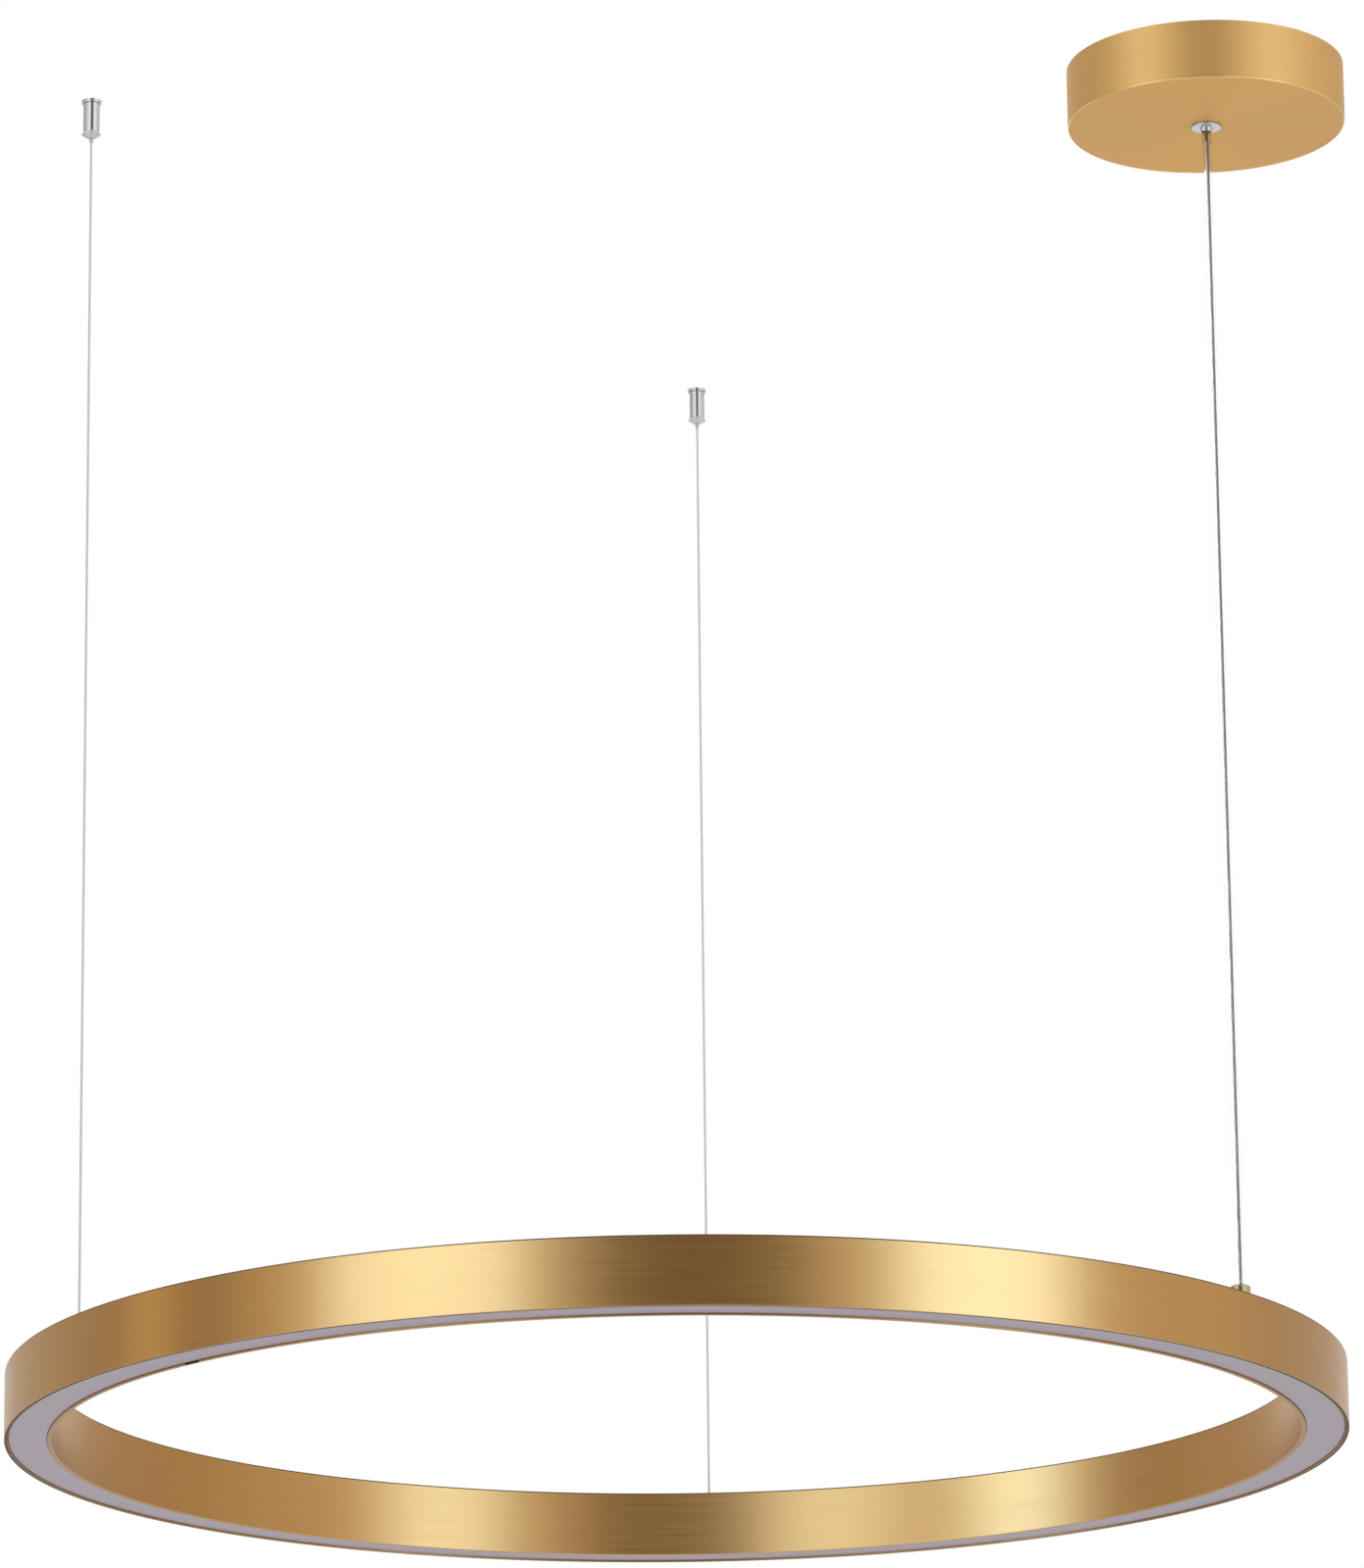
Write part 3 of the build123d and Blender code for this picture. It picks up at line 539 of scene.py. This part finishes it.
def settle(piece):
    """Puts the piece's place into its mesh and smooths its round faces."""
    select_only(piece)
    bpy.ops.object.transform_apply(location=True, rotation=True, scale=True)
    bpy.ops.object.shade_smooth_by_angle(angle=SMOOTH_ANGLE)
    apply_modifier(piece, "WEIGHTED_NORMAL", keep_sharp=True)


def turned(name, centre, corners, sides=SMALL_SIDES, steps=BEVEL_STEPS):
    """A closed outline of (radius, height, rounding) corners, carried round the upright axis."""
    bpy.ops.object.select_all(action="DESELECT")
    radius, height, _ = corners[0]
    start = (centre.x, centre.y, height * MM)
    bpy.ops.mesh.primitive_circle_add(vertices=sides, radius=radius * MM, location=start,
                                      enter_editmode=True)
    piece = bpy.context.object
    piece.name = name
    piece.data.name = name
    for next_radius, next_height, _ in corners[1:] + corners[:1]:
        rise = (next_height - height) * MM
        share = next_radius / radius
        bpy.ops.mesh.extrude_edges_move(TRANSFORM_OT_translate={"value": (0, 0, rise)})
        pivot = (centre.x, centre.y, next_height * MM)
        bpy.ops.transform.resize(value=(share, share, 1), center_override=pivot)
        radius, height = next_radius, next_height
    close_mesh()
    for corner in corners:
        if corner[2] > 0:
            round_corner(piece, corner, steps)
    bpy.ops.object.mode_set(mode="OBJECT")
    return piece


def place(piece, body, material, slot, *nodes):
    """Gives a finished piece its material, its body and the CAD nodes that it stands for."""
    piece.data.materials.clear()
    piece.data.materials.append(material)
    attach(piece, body)
    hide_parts(*nodes)


def finish_faces(piece, material, chosen):
    """Gives one more material to the faces of a piece that a test picks out."""
    piece.data.materials.append(material)
    for face in piece.data.polygons:
        if chosen(face):
            face.material_index = len(piece.data.materials) - 1


def rises(face, limits):
    """Whether the rise of a face's normal lies between two limits."""
    return limits[0] < face.normal.z < limits[1]


# Cords: two wire ropes, and the power cable's core inside its clear jacket

def route(name, points, steps):
    """A smooth line through space, with the route's points as its control points."""
    curve = bpy.data.curves.new(name, "CURVE")
    curve.dimensions = "3D"
    spline = curve.splines.new("NURBS")
    spline.points.add(len(points) - 1)
    for control, point in zip(spline.points, points):
        control.co = (*point, 1.0)
    spline.order_u = 3
    spline.use_endpoint_u = True
    spline.resolution_u = steps
    line = bpy.data.objects.new(name, curve)
    bpy.context.scene.collection.objects.link(line)
    return line


def line_points(line):
    bpy.context.view_layer.update()
    mesh = bpy.data.meshes.new_from_object(line)
    return [tuple(v.co) for v in mesh.vertices]


def strand_outline(name, diameter):
    """The section of a rope: round strands side by side in a ring, as one closed line."""
    strand = diameter / 2 / (1 + 1 / sin(pi / ROPE_STRANDS))
    pitch_radius = diameter / 2 - strand
    curve = bpy.data.curves.new(name, "CURVE")
    curve.dimensions = "2D"
    spline = curve.splines.new("POLY")
    outline = []
    for i in range(ROPE_STRANDS):
        middle_angle = tau * i / ROPE_STRANDS
        for k in range(STRAND_POINTS):
            turn = middle_angle + STRAND_BULGE * (2 * k / (STRAND_POINTS - 1) - 1)
            x = pitch_radius * cos(middle_angle) + strand * cos(turn)
            y = pitch_radius * sin(middle_angle) + strand * sin(turn)
            outline.append((x, y))
    spline.points.add(len(outline) - 1)
    for control, (x, y) in zip(spline.points, outline):
        control.co = (x * MM, y * MM, 0.0, 1.0)
    spline.use_cyclic_u = True
    section = bpy.data.objects.new(name, curve)
    bpy.context.scene.collection.objects.link(section)
    return section


def to_mesh(line):
    select_only(line)
    bpy.ops.object.convert(target="MESH")
    piece = bpy.context.object
    bpy.ops.object.mode_set(mode="EDIT")
    close_mesh()
    bpy.ops.object.mode_set(mode="OBJECT")
    bpy.ops.object.shade_smooth_by_angle(angle=SMOOTH_ANGLE)
    return piece


def straight_route(node):
    """The top, middle and bottom of a cord that hangs straight down."""
    low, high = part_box(node)
    centre = (low + high) / 2
    return [(centre.x, centre.y, z) for z in (high.z, centre.z, low.z)]


def rope(name, node, diameter):
    """A rope of twisted strands along a straight route, with the points that it follows."""
    points = straight_route(node)
    line = route(name, points, ROPE_STEPS)
    followed = line_points(line)
    section = strand_outline(name + "_section", diameter)
    length = (points[0][2] - points[-1][2]) / MM
    spline = line.data.splines[0]
    for i, control in enumerate(spline.points):
        control.tilt = tau * length / ROPE_LAY * i / (len(points) - 1)
    line.data.bevel_mode = "OBJECT"
    line.data.bevel_object = section
    line.data.use_fill_caps = True
    piece = to_mesh(line)
    bpy.data.objects.remove(section)
    return piece, followed


def clear_tube(name, node, diameter, wall):
    """A tube with a bore along a straight route, with the points that it follows."""
    line = route(name, straight_route(node), JACKET_STEPS)
    followed = line_points(line)
    line.data.bevel_depth = diameter / 2 * MM
    line.data.bevel_resolution = JACKET_ROUNDNESS
    piece = to_mesh(line)
    apply_modifier(piece, "SOLIDIFY", thickness=wall * MM, offset=-1.0)
    return piece, followed


def hang(piece, node, material, slot):
    """Gives a cord its material, fixes it to the ceiling set, hides its CAD node and gives it a mesh of
    its own.
    """
    place(piece, "ceiling_set", material, slot, node)
    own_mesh(piece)


for side in wire_points:
    node = "suspension_wire_" + side
    wire, followed = rope("wire_rope_" + side, node, WIRE_DIAMETER)
    hang(wire, node, wire_steel, "steel_wire")

core, followed = rope("cable_core", "power_cable_core", CORE_DIAMETER)
hang(core, "power_cable_core", core_strand, "steel_wire")
jacket, followed = clear_tube("cable_jacket", "power_cable_jacket", CABLE_DIAMETER, JACKET_WALL)
hang(jacket, "power_cable_jacket", pvc, "clear_pvc")


# Ring channel

ring_low = bottom("ring_channel")
ring_top = top("ring_channel")
inner = RING_RADIUS - RING_WIDTH
lip_top = ring_low + LIP_HEIGHT
groove_low = lip_top - GROOVE_HEIGHT
web_low = ring_top - RING_WEB
inner_lip = inner + LIP_WIDTH
outer_lip = RING_RADIUS - LIP_WIDTH


def ring_body():
    """The channel's outline turned round the ring, with a groove where each lip meets the diffuser."""
    return turned("ring_body", ring_centre, [
        (RING_RADIUS, ring_low, RING_EDGE),
        (RING_RADIUS, ring_top, RING_TOP_EDGE),
        (inner, ring_top, RING_TOP_EDGE),
        (inner, ring_low, RING_EDGE),
        (inner_lip, ring_low, LIP_EDGE),
        (inner_lip, groove_low, 0.0),
        (inner_lip - GROOVE_DEPTH, groove_low, 0.0),
        (inner_lip - GROOVE_DEPTH, lip_top, 0.0),
        (inner + RING_WALL, lip_top, 0.0),
        (inner + RING_WALL, web_low, 0.0),
        (RING_RADIUS - RING_WALL, web_low, 0.0),
        (RING_RADIUS - RING_WALL, lip_top, 0.0),
        (outer_lip + GROOVE_DEPTH, lip_top, 0.0),
        (outer_lip + GROOVE_DEPTH, groove_low, 0.0),
        (outer_lip, groove_low, 0.0),
        (outer_lip, ring_low, LIP_EDGE),
    ], sides=RING_SIDES)


def cut_notch(channel):
    """A short notch in the inner lip beside the seam, for prising the diffuser out."""
    reach = inner_lip * MM
    height = (groove_low - NOTCH_HEIGHT / 2) * MM
    at = (ring_centre.x + reach * cos(NOTCH_ANGLE), ring_centre.y + reach * sin(NOTCH_ANGLE), height)
    size = (2 * NOTCH_DEPTH * MM, NOTCH_LENGTH * MM, NOTCH_HEIGHT * MM)
    bpy.ops.object.select_all(action="DESELECT")
    bpy.ops.mesh.primitive_cube_add(size=1.0, location=at, rotation=(0, 0, NOTCH_ANGLE), scale=size)
    cut_away(channel, bpy.context.object)


def ring_place(face):
    """A face's distance from the ring's axis and its height, in millimetres."""
    reach = hypot(face.center.x - ring_centre.x, face.center.y - ring_centre.y)
    return reach / MM, face.center.z / MM


def channel_inside(face):
    """The walls, web and grooves inside the channel, and the walls of the notch, which are painted dark as
    shade.
    """
    reach, height = ring_place(face)
    groove = height > groove_low - PLACE_TOLERANCE / MM
    notch = reach < inner_lip - LIP_EDGE and height > ring_low + RING_EDGE
    between = inner + RING_WALL / 2 < reach < RING_RADIUS - RING_WALL / 2
    return between and (groove or notch) and height < ring_top - RING_WEB / 2


def lip_underside(face):
    """The flat undersides of both lips, cut and not brushed."""
    return face.normal.z < LIP_CORNER_RISE[0] and ring_place(face)[1] < groove_low


def outer_lip_underside(face):
    """The underside of the outer lip, painted dark as shade so that it shows as a dark line beside the
    diffuser.
    """
    return lip_underside(face) and ring_place(face)[0] > RING_RADIUS - RING_WIDTH / 2


def lip_corner(face):
    """The rounded lower corners of the two walls, painted pale as a highlight line."""
    return rises(face, LIP_CORNER_RISE) and ring_place(face)[1] < ring_low + RING_EDGE


def upper_corner(face):
    """The rounded upper corners of the two walls, painted dark as shade along the ring's top edges."""
    return rises(face, UPPER_CORNER_RISE) and ring_place(face)[1] > ring_top - RING_TOP_EDGE


channel = ring_body()
cut_notch(channel)
settle(channel)
place(channel, "ring", ring_gold, "gold_aluminium", "ring_channel")
# Painted shade: the channel's inside, its grooves and the notch walls are darkened
finish_faces(channel, painted_shade_inside, channel_inside)
finish_faces(channel, lip_gold, lip_underside)
# Painted shade: the outer lip's underside is darkened to a shadow line
finish_faces(channel, painted_shade_gold, outer_lip_underside)
# Painted highlight: the rounded lower corners are paled to a bright edge line
finish_faces(channel, painted_highlight_gold, lip_corner)
# Painted shade: the rounded upper corners are darkened to a thin dark line
finish_faces(channel, painted_shade_gold, upper_corner)


# Diffuser: a stepped section spun round the ring, open by the seam

def diffuser_strip():
    """A section drawn flat round the origin, stood up at one side of the seam and spun to the other."""
    low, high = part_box("diffuser")
    thickness = high.z - low.z
    underside = -thickness / 2
    width = (RING_WIDTH - 2 * (RING_WALL + DIFFUSER_SIDE_GAP)) * MM
    step = (RING_WIDTH - 2 * (LIP_WIDTH + DIFFUSER_SIDE_GAP)) * MM
    drop = low.z - (ring_low + DIFFUSER_RECESS) * MM
    reach = (RING_RADIUS - RING_WIDTH / 2) * MM
    seam_angle = DIFFUSER_SEAM * MM / reach
    start_angle = DIFFUSER_SEAM_ANGLE + seam_angle / 2
    middle_third = width / 3

    def inner_corner(at):
        """The corners where the step leaves the strip's underside, which stay sharp."""
        return abs(at.y - underside) < PLACE_TOLERANCE and abs(at.x) < step / 2 + PLACE_TOLERANCE

    bpy.ops.object.select_all(action="DESELECT")
    bpy.ops.mesh.primitive_plane_add(size=1.0, enter_editmode=True)
    piece = bpy.context.object
    piece.name = "diffuser_strip"
    bpy.ops.transform.resize(value=(width, thickness, 1.0), center_override=(0, 0, 0))
    # The middle third of the lower edge is widened to the step and drawn down
    pick(piece, "EDGE", lambda at: at.y < 0)
    bpy.ops.mesh.subdivide(number_cuts=2)
    pick(piece, "EDGE", lambda at: at.y < 0 and abs(at.x) < middle_third)
    bpy.ops.transform.resize(value=(step / middle_third, 1, 1), center_override=(0, 0, 0))
    bpy.ops.mesh.extrude_edges_move(TRANSFORM_OT_translate={"value": (0, -drop, 0)})
    pick(piece, "EDGE", inner_corner)
    bpy.ops.mesh.dissolve_edges(use_verts=False)
    pick(piece, "VERT", lambda at: not inner_corner(at))
    bpy.ops.mesh.bevel(offset=DIFFUSER_EDGE * MM, segments=BEVEL_STEPS, affect="VERTICES")
    # With no window the rotate operator turns the other way, so its angles are negative
    bpy.ops.mesh.select_all(action="SELECT")
    bpy.ops.transform.rotate(value=-pi / 2, orient_axis="X", center_override=(0, 0, 0))
    bpy.ops.transform.translate(value=(reach, 0, 0))
    bpy.ops.transform.rotate(value=-start_angle, orient_axis="Z", center_override=(0, 0, 0))
    bpy.ops.transform.translate(value=(ring_centre.x, ring_centre.y, (low.z + high.z) / 2))
    bpy.ops.mesh.spin(steps=RING_SIDES, angle=tau - seam_angle, axis=(0, 0, 1),
                      center=(ring_centre.x, ring_centre.y, 0))
    close_mesh()
    bpy.ops.object.mode_set(mode="OBJECT")
    return piece


strip = diffuser_strip()
settle(strip)
place(strip, "ring", opal, "opal_acrylic", "diffuser")


# Canopy cup, with a hole for each grub screw

canopy_low = bottom("canopy_cover")


def canopy_cup():
    inside = CANOPY_RADIUS - CANOPY_WALL
    return turned("canopy_cup", cable_point, [
        (CANOPY_RADIUS, 0.0, CANOPY_RIM),
        (CANOPY_RADIUS, canopy_low, CANOPY_EDGE),
        (CANOPY_HOLE, canopy_low, 0.0),
        (CANOPY_HOLE, canopy_low + CANOPY_WALL, 0.0),
        (inside, canopy_low + CANOPY_WALL, 0.0),
        (inside, 0.0, CANOPY_RIM),
    ], sides=CANOPY_SIDES, steps=CANOPY_BEVEL_STEPS)


def drill_grub_holes(cup):
    for direction in (1, -1):
        at = (direction * CANOPY_RADIUS * MM, 0, middle("canopy_screws").z)
        bpy.ops.object.select_all(action="DESELECT")
        bpy.ops.mesh.primitive_cylinder_add(vertices=GRUB_HOLE_SIDES, radius=GRUB_HOLE * MM,
                                            depth=GRUB_HOLE_DEPTH * MM, location=at,
                                            rotation=(0, pi / 2, 0))
        cut_away(cup, bpy.context.object)


def canopy_corner(face):
    """The rounded edge between the cup's wall and its floor, polished and painted a lighter gold as a
    highlight.
    """
    return rises(face, CANOPY_CORNER_RISE) and face.center.z / MM < canopy_low + CANOPY_EDGE


cup = canopy_cup()
drill_grub_holes(cup)
settle(cup)
place(cup, "ceiling_set", canopy_gold, "gold_steel", "canopy_cover")
# Partly painted highlight: the canopy's corner is polished and painted lighter
finish_faces(cup, polished_rim_painted_highlight, canopy_corner)


# Small turned fittings

def cord_grip():
    flange_low = canopy_low - GRIP_FLANGE_THICKNESS
    barrel_low, stem_top = bottom("cord_grip"), top("cord_grip")
    collar_low = barrel_low + GRIP_BARREL_LENGTH
    return turned("cable_grip", cable_point, [
        (CABLE_BORE, barrel_low, FINE_EDGE),
        (GRIP_BARREL, barrel_low, FINE_EDGE),
        (GRIP_BARREL, collar_low, 0.0),
        (GRIP_DOME, collar_low + GRIP_DOME_HEIGHT, GRIP_DOME_EDGE),
        (GRIP_COLLAR, flange_low, 0.0),
        (GRIP_FLANGE, flange_low, GRIP_FLANGE_EDGE),
        (GRIP_FLANGE, canopy_low, 0.0),
        (GRIP_STEM, canopy_low, 0.0),
        (GRIP_STEM, stem_top, FINE_EDGE),
        (CABLE_BORE, stem_top, 0.0),
        (CABLE_BORE, collar_low, 0.0),
    ])


def grip_sleeve(face):
    """The clear sleeve below the cord grip's chrome dome, through which the cable shows."""
    return face.center.z / MM < bottom("cord_grip") + GRIP_BARREL_LENGTH


def ring_gland():
    low, high = bottom("cable_gland"), top("cable_gland")
    return turned("ring_gland", cable_point, [
        (CABLE_BORE, low, 0.0),
        (GLAND_STEM, low, 0.0),
        (GLAND_STEM, ring_top, 0.0),
        (GLAND_RADIUS, ring_top, FINE_EDGE),
        (GLAND_RADIUS, high - GLAND_CONE, GLAND_SHOULDER_EDGE),
        (GLAND_NOSE, high, GLAND_NOSE_EDGE),
        (CABLE_BORE, high, FINE_EDGE),
    ])


def ring_bush(side, at):
    low, high = bottom("wire_bush_" + side), top("wire_bush_" + side)
    return turned("ring_bush_" + side, at, [
        (BUSH_BORE, low, 0.0),
        (BUSH_STEM, low, 0.0),
        (BUSH_STEM, ring_top, 0.0),
        (BUSH_FLANGE, ring_top, 0.0),
        (BUSH_FLANGE, ring_top + BUSH_RIM, FINE_EDGE),
        (BUSH_NOSE, high, FINE_EDGE),
        (BUSH_BORE, high, 0.0),
    ])


def anchor_disc(side, at):
    low = bottom("anchor_base_" + side)
    return turned("anchor_disc_" + side, at, [
        (ANCHOR_TAP_TIP, low, 0.0),
        (ANCHOR_STUD, low, 0.0),
        (ANCHOR_STUD, -ANCHOR_FLANGE_THICKNESS, 0.0),
        (ANCHOR_FLANGE, -ANCHOR_FLANGE_THICKNESS, ANCHOR_FLANGE_EDGE),
        (ANCHOR_FLANGE, 0.0, FINE_EDGE),
        (ANCHOR_TAP, 0.0, 0.0),
        (ANCHOR_TAP, -ANCHOR_TAP_DEPTH, 0.0),
        (ANCHOR_TAP_TIP, -ANCHOR_TAP_DEPTH, 0.0),
    ])


def anchor_shell(side, at):
    low, high = bottom("anchor_sleeve_" + side), top("anchor_sleeve_" + side)
    lip = low + SLEEVE_CONE
    floor = low + SLEEVE_FLOOR
    return turned("anchor_shell_" + side, at, [
        (SLEEVE_RADIUS, high, FINE_EDGE),
        (SLEEVE_RADIUS, lip + SLEEVE_FLARE, SLEEVE_FLARE_EDGE),
        (SLEEVE_LIP, lip, FINE_EDGE),
        (SLEEVE_CONE_END, low, SLEEVE_CONE_EDGE),
        (SLEEVE_EXIT, low, 0.0),
        (SLEEVE_EXIT, floor, 0.0),
        (TAPER_LOW, floor, 0.0),
        (TAPER_HIGH, floor + TAPER_LENGTH, 0.0),
        (TAPER_HIGH, high, 0.0),
    ])


def nozzle_tube(side, at):
    low, high = bottom("release_nozzle_" + side), top("release_nozzle_" + side)
    return turned("nozzle_tube_" + side, at, [
        (NOZZLE_BORE, low, FINE_EDGE),
        (NOZZLE_RADIUS, low, FINE_EDGE),
        (NOZZLE_RADIUS, high - NOZZLE_COLLAR_HEIGHT, 0.0),
        (NOZZLE_COLLAR, high - NOZZLE_COLLAR_HEIGHT, 0.0),
        (NOZZLE_COLLAR, high, 0.0),
        (NOZZLE_BORE, high, 0.0),
    ])


grip = cord_grip()
fittings = [
    (grip, "ceiling_set", chrome, "cord_grip"),
    (ring_gland(), "ring", gilding, "cable_gland"),
]
for side, at in wire_points.items():
    fittings.append((ring_bush(side, at), "ring", gilding, "wire_bush_" + side))
    fittings.append((anchor_disc(side, at), "ceiling_set", chrome, "anchor_base_" + side))
    fittings.append((anchor_shell(side, at), "ceiling_set", chrome, "anchor_sleeve_" + side))
    fittings.append((nozzle_tube(side, at), "plunger_" + side, chrome, "release_nozzle_" + side))
for piece, body, plating, node in fittings:
    settle(piece)
    place(piece, body, plating, "chrome", node)
finish_faces(grip, pvc, grip_sleeve)


# Release springs: a round wire carried up a helix inside each sleeve

def spring_coil(side, at):
    low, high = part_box("release_spring_" + side)
    start = (at.x, at.y, low.z + SPRING_WIRE / 2 * MM)
    pitch = (high.z - low.z - SPRING_WIRE * MM) / SPRING_TURNS
    bpy.ops.object.select_all(action="DESELECT")
    bpy.ops.mesh.primitive_circle_add(vertices=SPRING_WIRE_SIDES, radius=SPRING_WIRE / 2 * MM,
                                      location=start, enter_editmode=True)
    piece = bpy.context.object
    piece.name = "spring_coil_" + side
    bpy.ops.transform.rotate(value=pi / 2, orient_axis="X", center_override=start)
    bpy.ops.transform.translate(value=(SPRING_RADIUS * MM, 0, 0))
    bpy.ops.object.mode_set(mode="OBJECT")
    apply_modifier(piece, "SCREW", axis="Z", screw_offset=pitch, iterations=SPRING_TURNS,
                   steps=SPRING_STEPS, render_steps=SPRING_STEPS)
    select_only(piece)
    bpy.ops.object.mode_set(mode="EDIT")
    bpy.ops.mesh.select_all(action="SELECT")
    bpy.ops.mesh.fill_holes(sides=0)
    close_mesh()
    bpy.ops.object.mode_set(mode="OBJECT")
    return piece


for side, at in wire_points.items():
    coil = spring_coil(side, at)
    settle(coil)
    place(coil, "ceiling_set", wire_steel, "steel_wire", "release_spring_" + side)
    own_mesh(coil)


# Camera

view = bpy.data.cameras.new("camera")
view.lens = CAMERA_LENS
view.clip_end = CAMERA_REACH
camera = bpy.data.objects.new("camera", view)
bpy.context.scene.collection.objects.link(camera)
aim = Matrix.Rotation(CAMERA_TURN, 4, "Z") @ Matrix.Rotation(pi / 2 + CAMERA_TILT, 4, "X")
camera.matrix_world = Matrix.Translation(CAMERA_PLACE) @ aim @ Matrix.Rotation(CAMERA_ROLL, 4, "Z")
bpy.context.scene.camera = camera


# Studio: a white room with a pale floor, softboxes and cloths

def seen_directly(tree):
    """One for rays that show the background: straight from the camera, mirrored or through glass."""
    path = add(tree, "ShaderNodeLightPath", {}).outputs
    inputs = {0: path["Is Camera Ray"], 1: path["Is Glossy Ray"]}
    either = add(tree, "ShaderNodeMath", inputs, operation="MAXIMUM").outputs[0]
    inputs = {0: either, 1: path["Is Transmission Ray"]}
    return add(tree, "ShaderNodeMath", inputs, operation="MAXIMUM").outputs[0]


def white_world():
    world = bpy.data.worlds.new("white_room")
    bpy.context.scene.world = world
    world.use_nodes = True
    tree = world.node_tree
    tree.nodes.clear()
    levels = {"Value": seen_directly(tree), "To Min": FILL_LEVEL, "To Max": 1.0}
    level = add(tree, "ShaderNodeMapRange", levels).outputs["Result"]
    light = add(tree, "ShaderNodeBackground", {"Color": colour(WHITE), "Strength": level})
    add(tree, "ShaderNodeOutputWorld", {"Surface": light.outputs[0]})


def pale_floor():
    bpy.ops.object.select_all(action="DESELECT")
    bpy.ops.mesh.primitive_plane_add(size=FLOOR_SIZE, location=(0, 0, FLOOR_HEIGHT))
    floor = bpy.context.object
    floor.name = "studio_floor"
    material, tree = new_material("pale_studio_floor")
    paper = add(tree, "ShaderNodeBsdfDiffuse", {"Color": colour(FLOOR_TONE)})
    glow = add(tree, "ShaderNodeMath", {0: seen_directly(tree), 1: FILL_LEVEL}, operation="MULTIPLY")
    lift = add(tree, "ShaderNodeEmission", {"Color": colour(WHITE), "Strength": glow.outputs[0]})
    both = add(tree, "ShaderNodeAddShader", {0: paper.outputs[0], 1: lift.outputs[0]})
    # From below the floor is open, so that it never stands between a low camera and the object
    below = add(tree, "ShaderNodeNewGeometry", {}).outputs["Backfacing"]
    opening = add(tree, "ShaderNodeBsdfTransparent", {})
    sheet = add(tree, "ShaderNodeMixShader", {0: below, 1: both.outputs[0], 2: opening.outputs[0]})
    add(tree, "ShaderNodeOutputMaterial", {"Surface": sheet.outputs[0]})
    floor.data.materials.append(material)


def softbox(name, panel, level, tone, setback=0.0, lit=None):
    """An upright area light between two places in plan, with its brightness as seen in a mirror."""
    start, end, foot, head = panel
    along = Vector((*end, 0)) - Vector((*start, 0))
    toward = Vector((-along.y, along.x, 0)).normalized()
    light = bpy.data.lights.new(name, "AREA")
    light.shape = "RECTANGLE"
    light.size = along.length
    light.size_y = head - foot
    light.color = colour(tone)[:3]
    light.energy = level * pi * light.size * light.size_y
    lamp = bpy.data.objects.new(name, light)
    bpy.context.scene.collection.objects.link(lamp)
    lamp.location = Vector((*start, (foot + head) / 2)) + along / 2 - setback * toward
    lamp.rotation_euler = toward.to_track_quat("-Z", "Y").to_euler()
    lamp.visible_camera = False
    if lit:
        lamp.light_linking.receiver_collection = lit


def cloth(name, start, end, tone):
    """An upright cloth between two places in plan, seen only in mirrors, so that metal has a dark side."""
    along = Vector(end) - Vector(start)
    at = ((start[0] + end[0]) / 2, (start[1] + end[1]) / 2, 0.0)
    upright = (pi / 2, 0, atan2(along.y, along.x))
    bpy.ops.object.select_all(action="DESELECT")
    bpy.ops.mesh.primitive_plane_add(size=1.0, location=at, rotation=upright)
    sheet = bpy.context.object
    sheet.name = name
    sheet.scale = (along.length, CLOTH_HEIGHT, 1)
    material, tree = new_material("studio_cloth")
    glow = add(tree, "ShaderNodeEmission", {"Color": colour(tone), "Strength": 1.0})
    add(tree, "ShaderNodeOutputMaterial", {"Surface": glow.outputs[0]})
    sheet.data.materials.append(material)
    sheet.visible_camera = False
    sheet.visible_diffuse = False
    sheet.visible_transmission = False
    sheet.visible_shadow = False


def lit_only(name, piece):
    """A group for one piece, which a lamp of its own reaches."""
    group = bpy.data.collections.new(name)
    group.objects.link(piece)
    return group


white_world()
pale_floor()
brushed_ring = lit_only("brushed_ring", channel)
brushed_canopy = lit_only("brushed_canopy", cup)
clear_cable = lit_only("clear_cable", jacket)
for side, panel in PANELS.items():
    softbox("plain_" + side, panel, PLAIN_LEVEL, WHITE, setback=PLAIN_SETBACK)
for side in ("right", "left"):
    softbox("canopy_" + side, PANELS[side], CANOPY_LEVEL, CANOPY_LIGHT, CANOPY_SETBACK, brushed_canopy)
for side, level in RING_LEVELS.items():
    softbox("ring_" + side, PANELS[side], level, RING_LIGHT, lit=brushed_ring)
softbox("ring_streak", STREAK_PANEL, STREAK_LEVEL, STREAK_LIGHT, lit=brushed_ring)
softbox("cable_glint", GLINT_PANEL, GLINT_LEVEL, WHITE, lit=clear_cable)
for name, (start, end, tone) in CLOTHS.items():
    cloth(name, start, end, tone)

bpy.context.scene.view_settings.view_transform = "Standard"
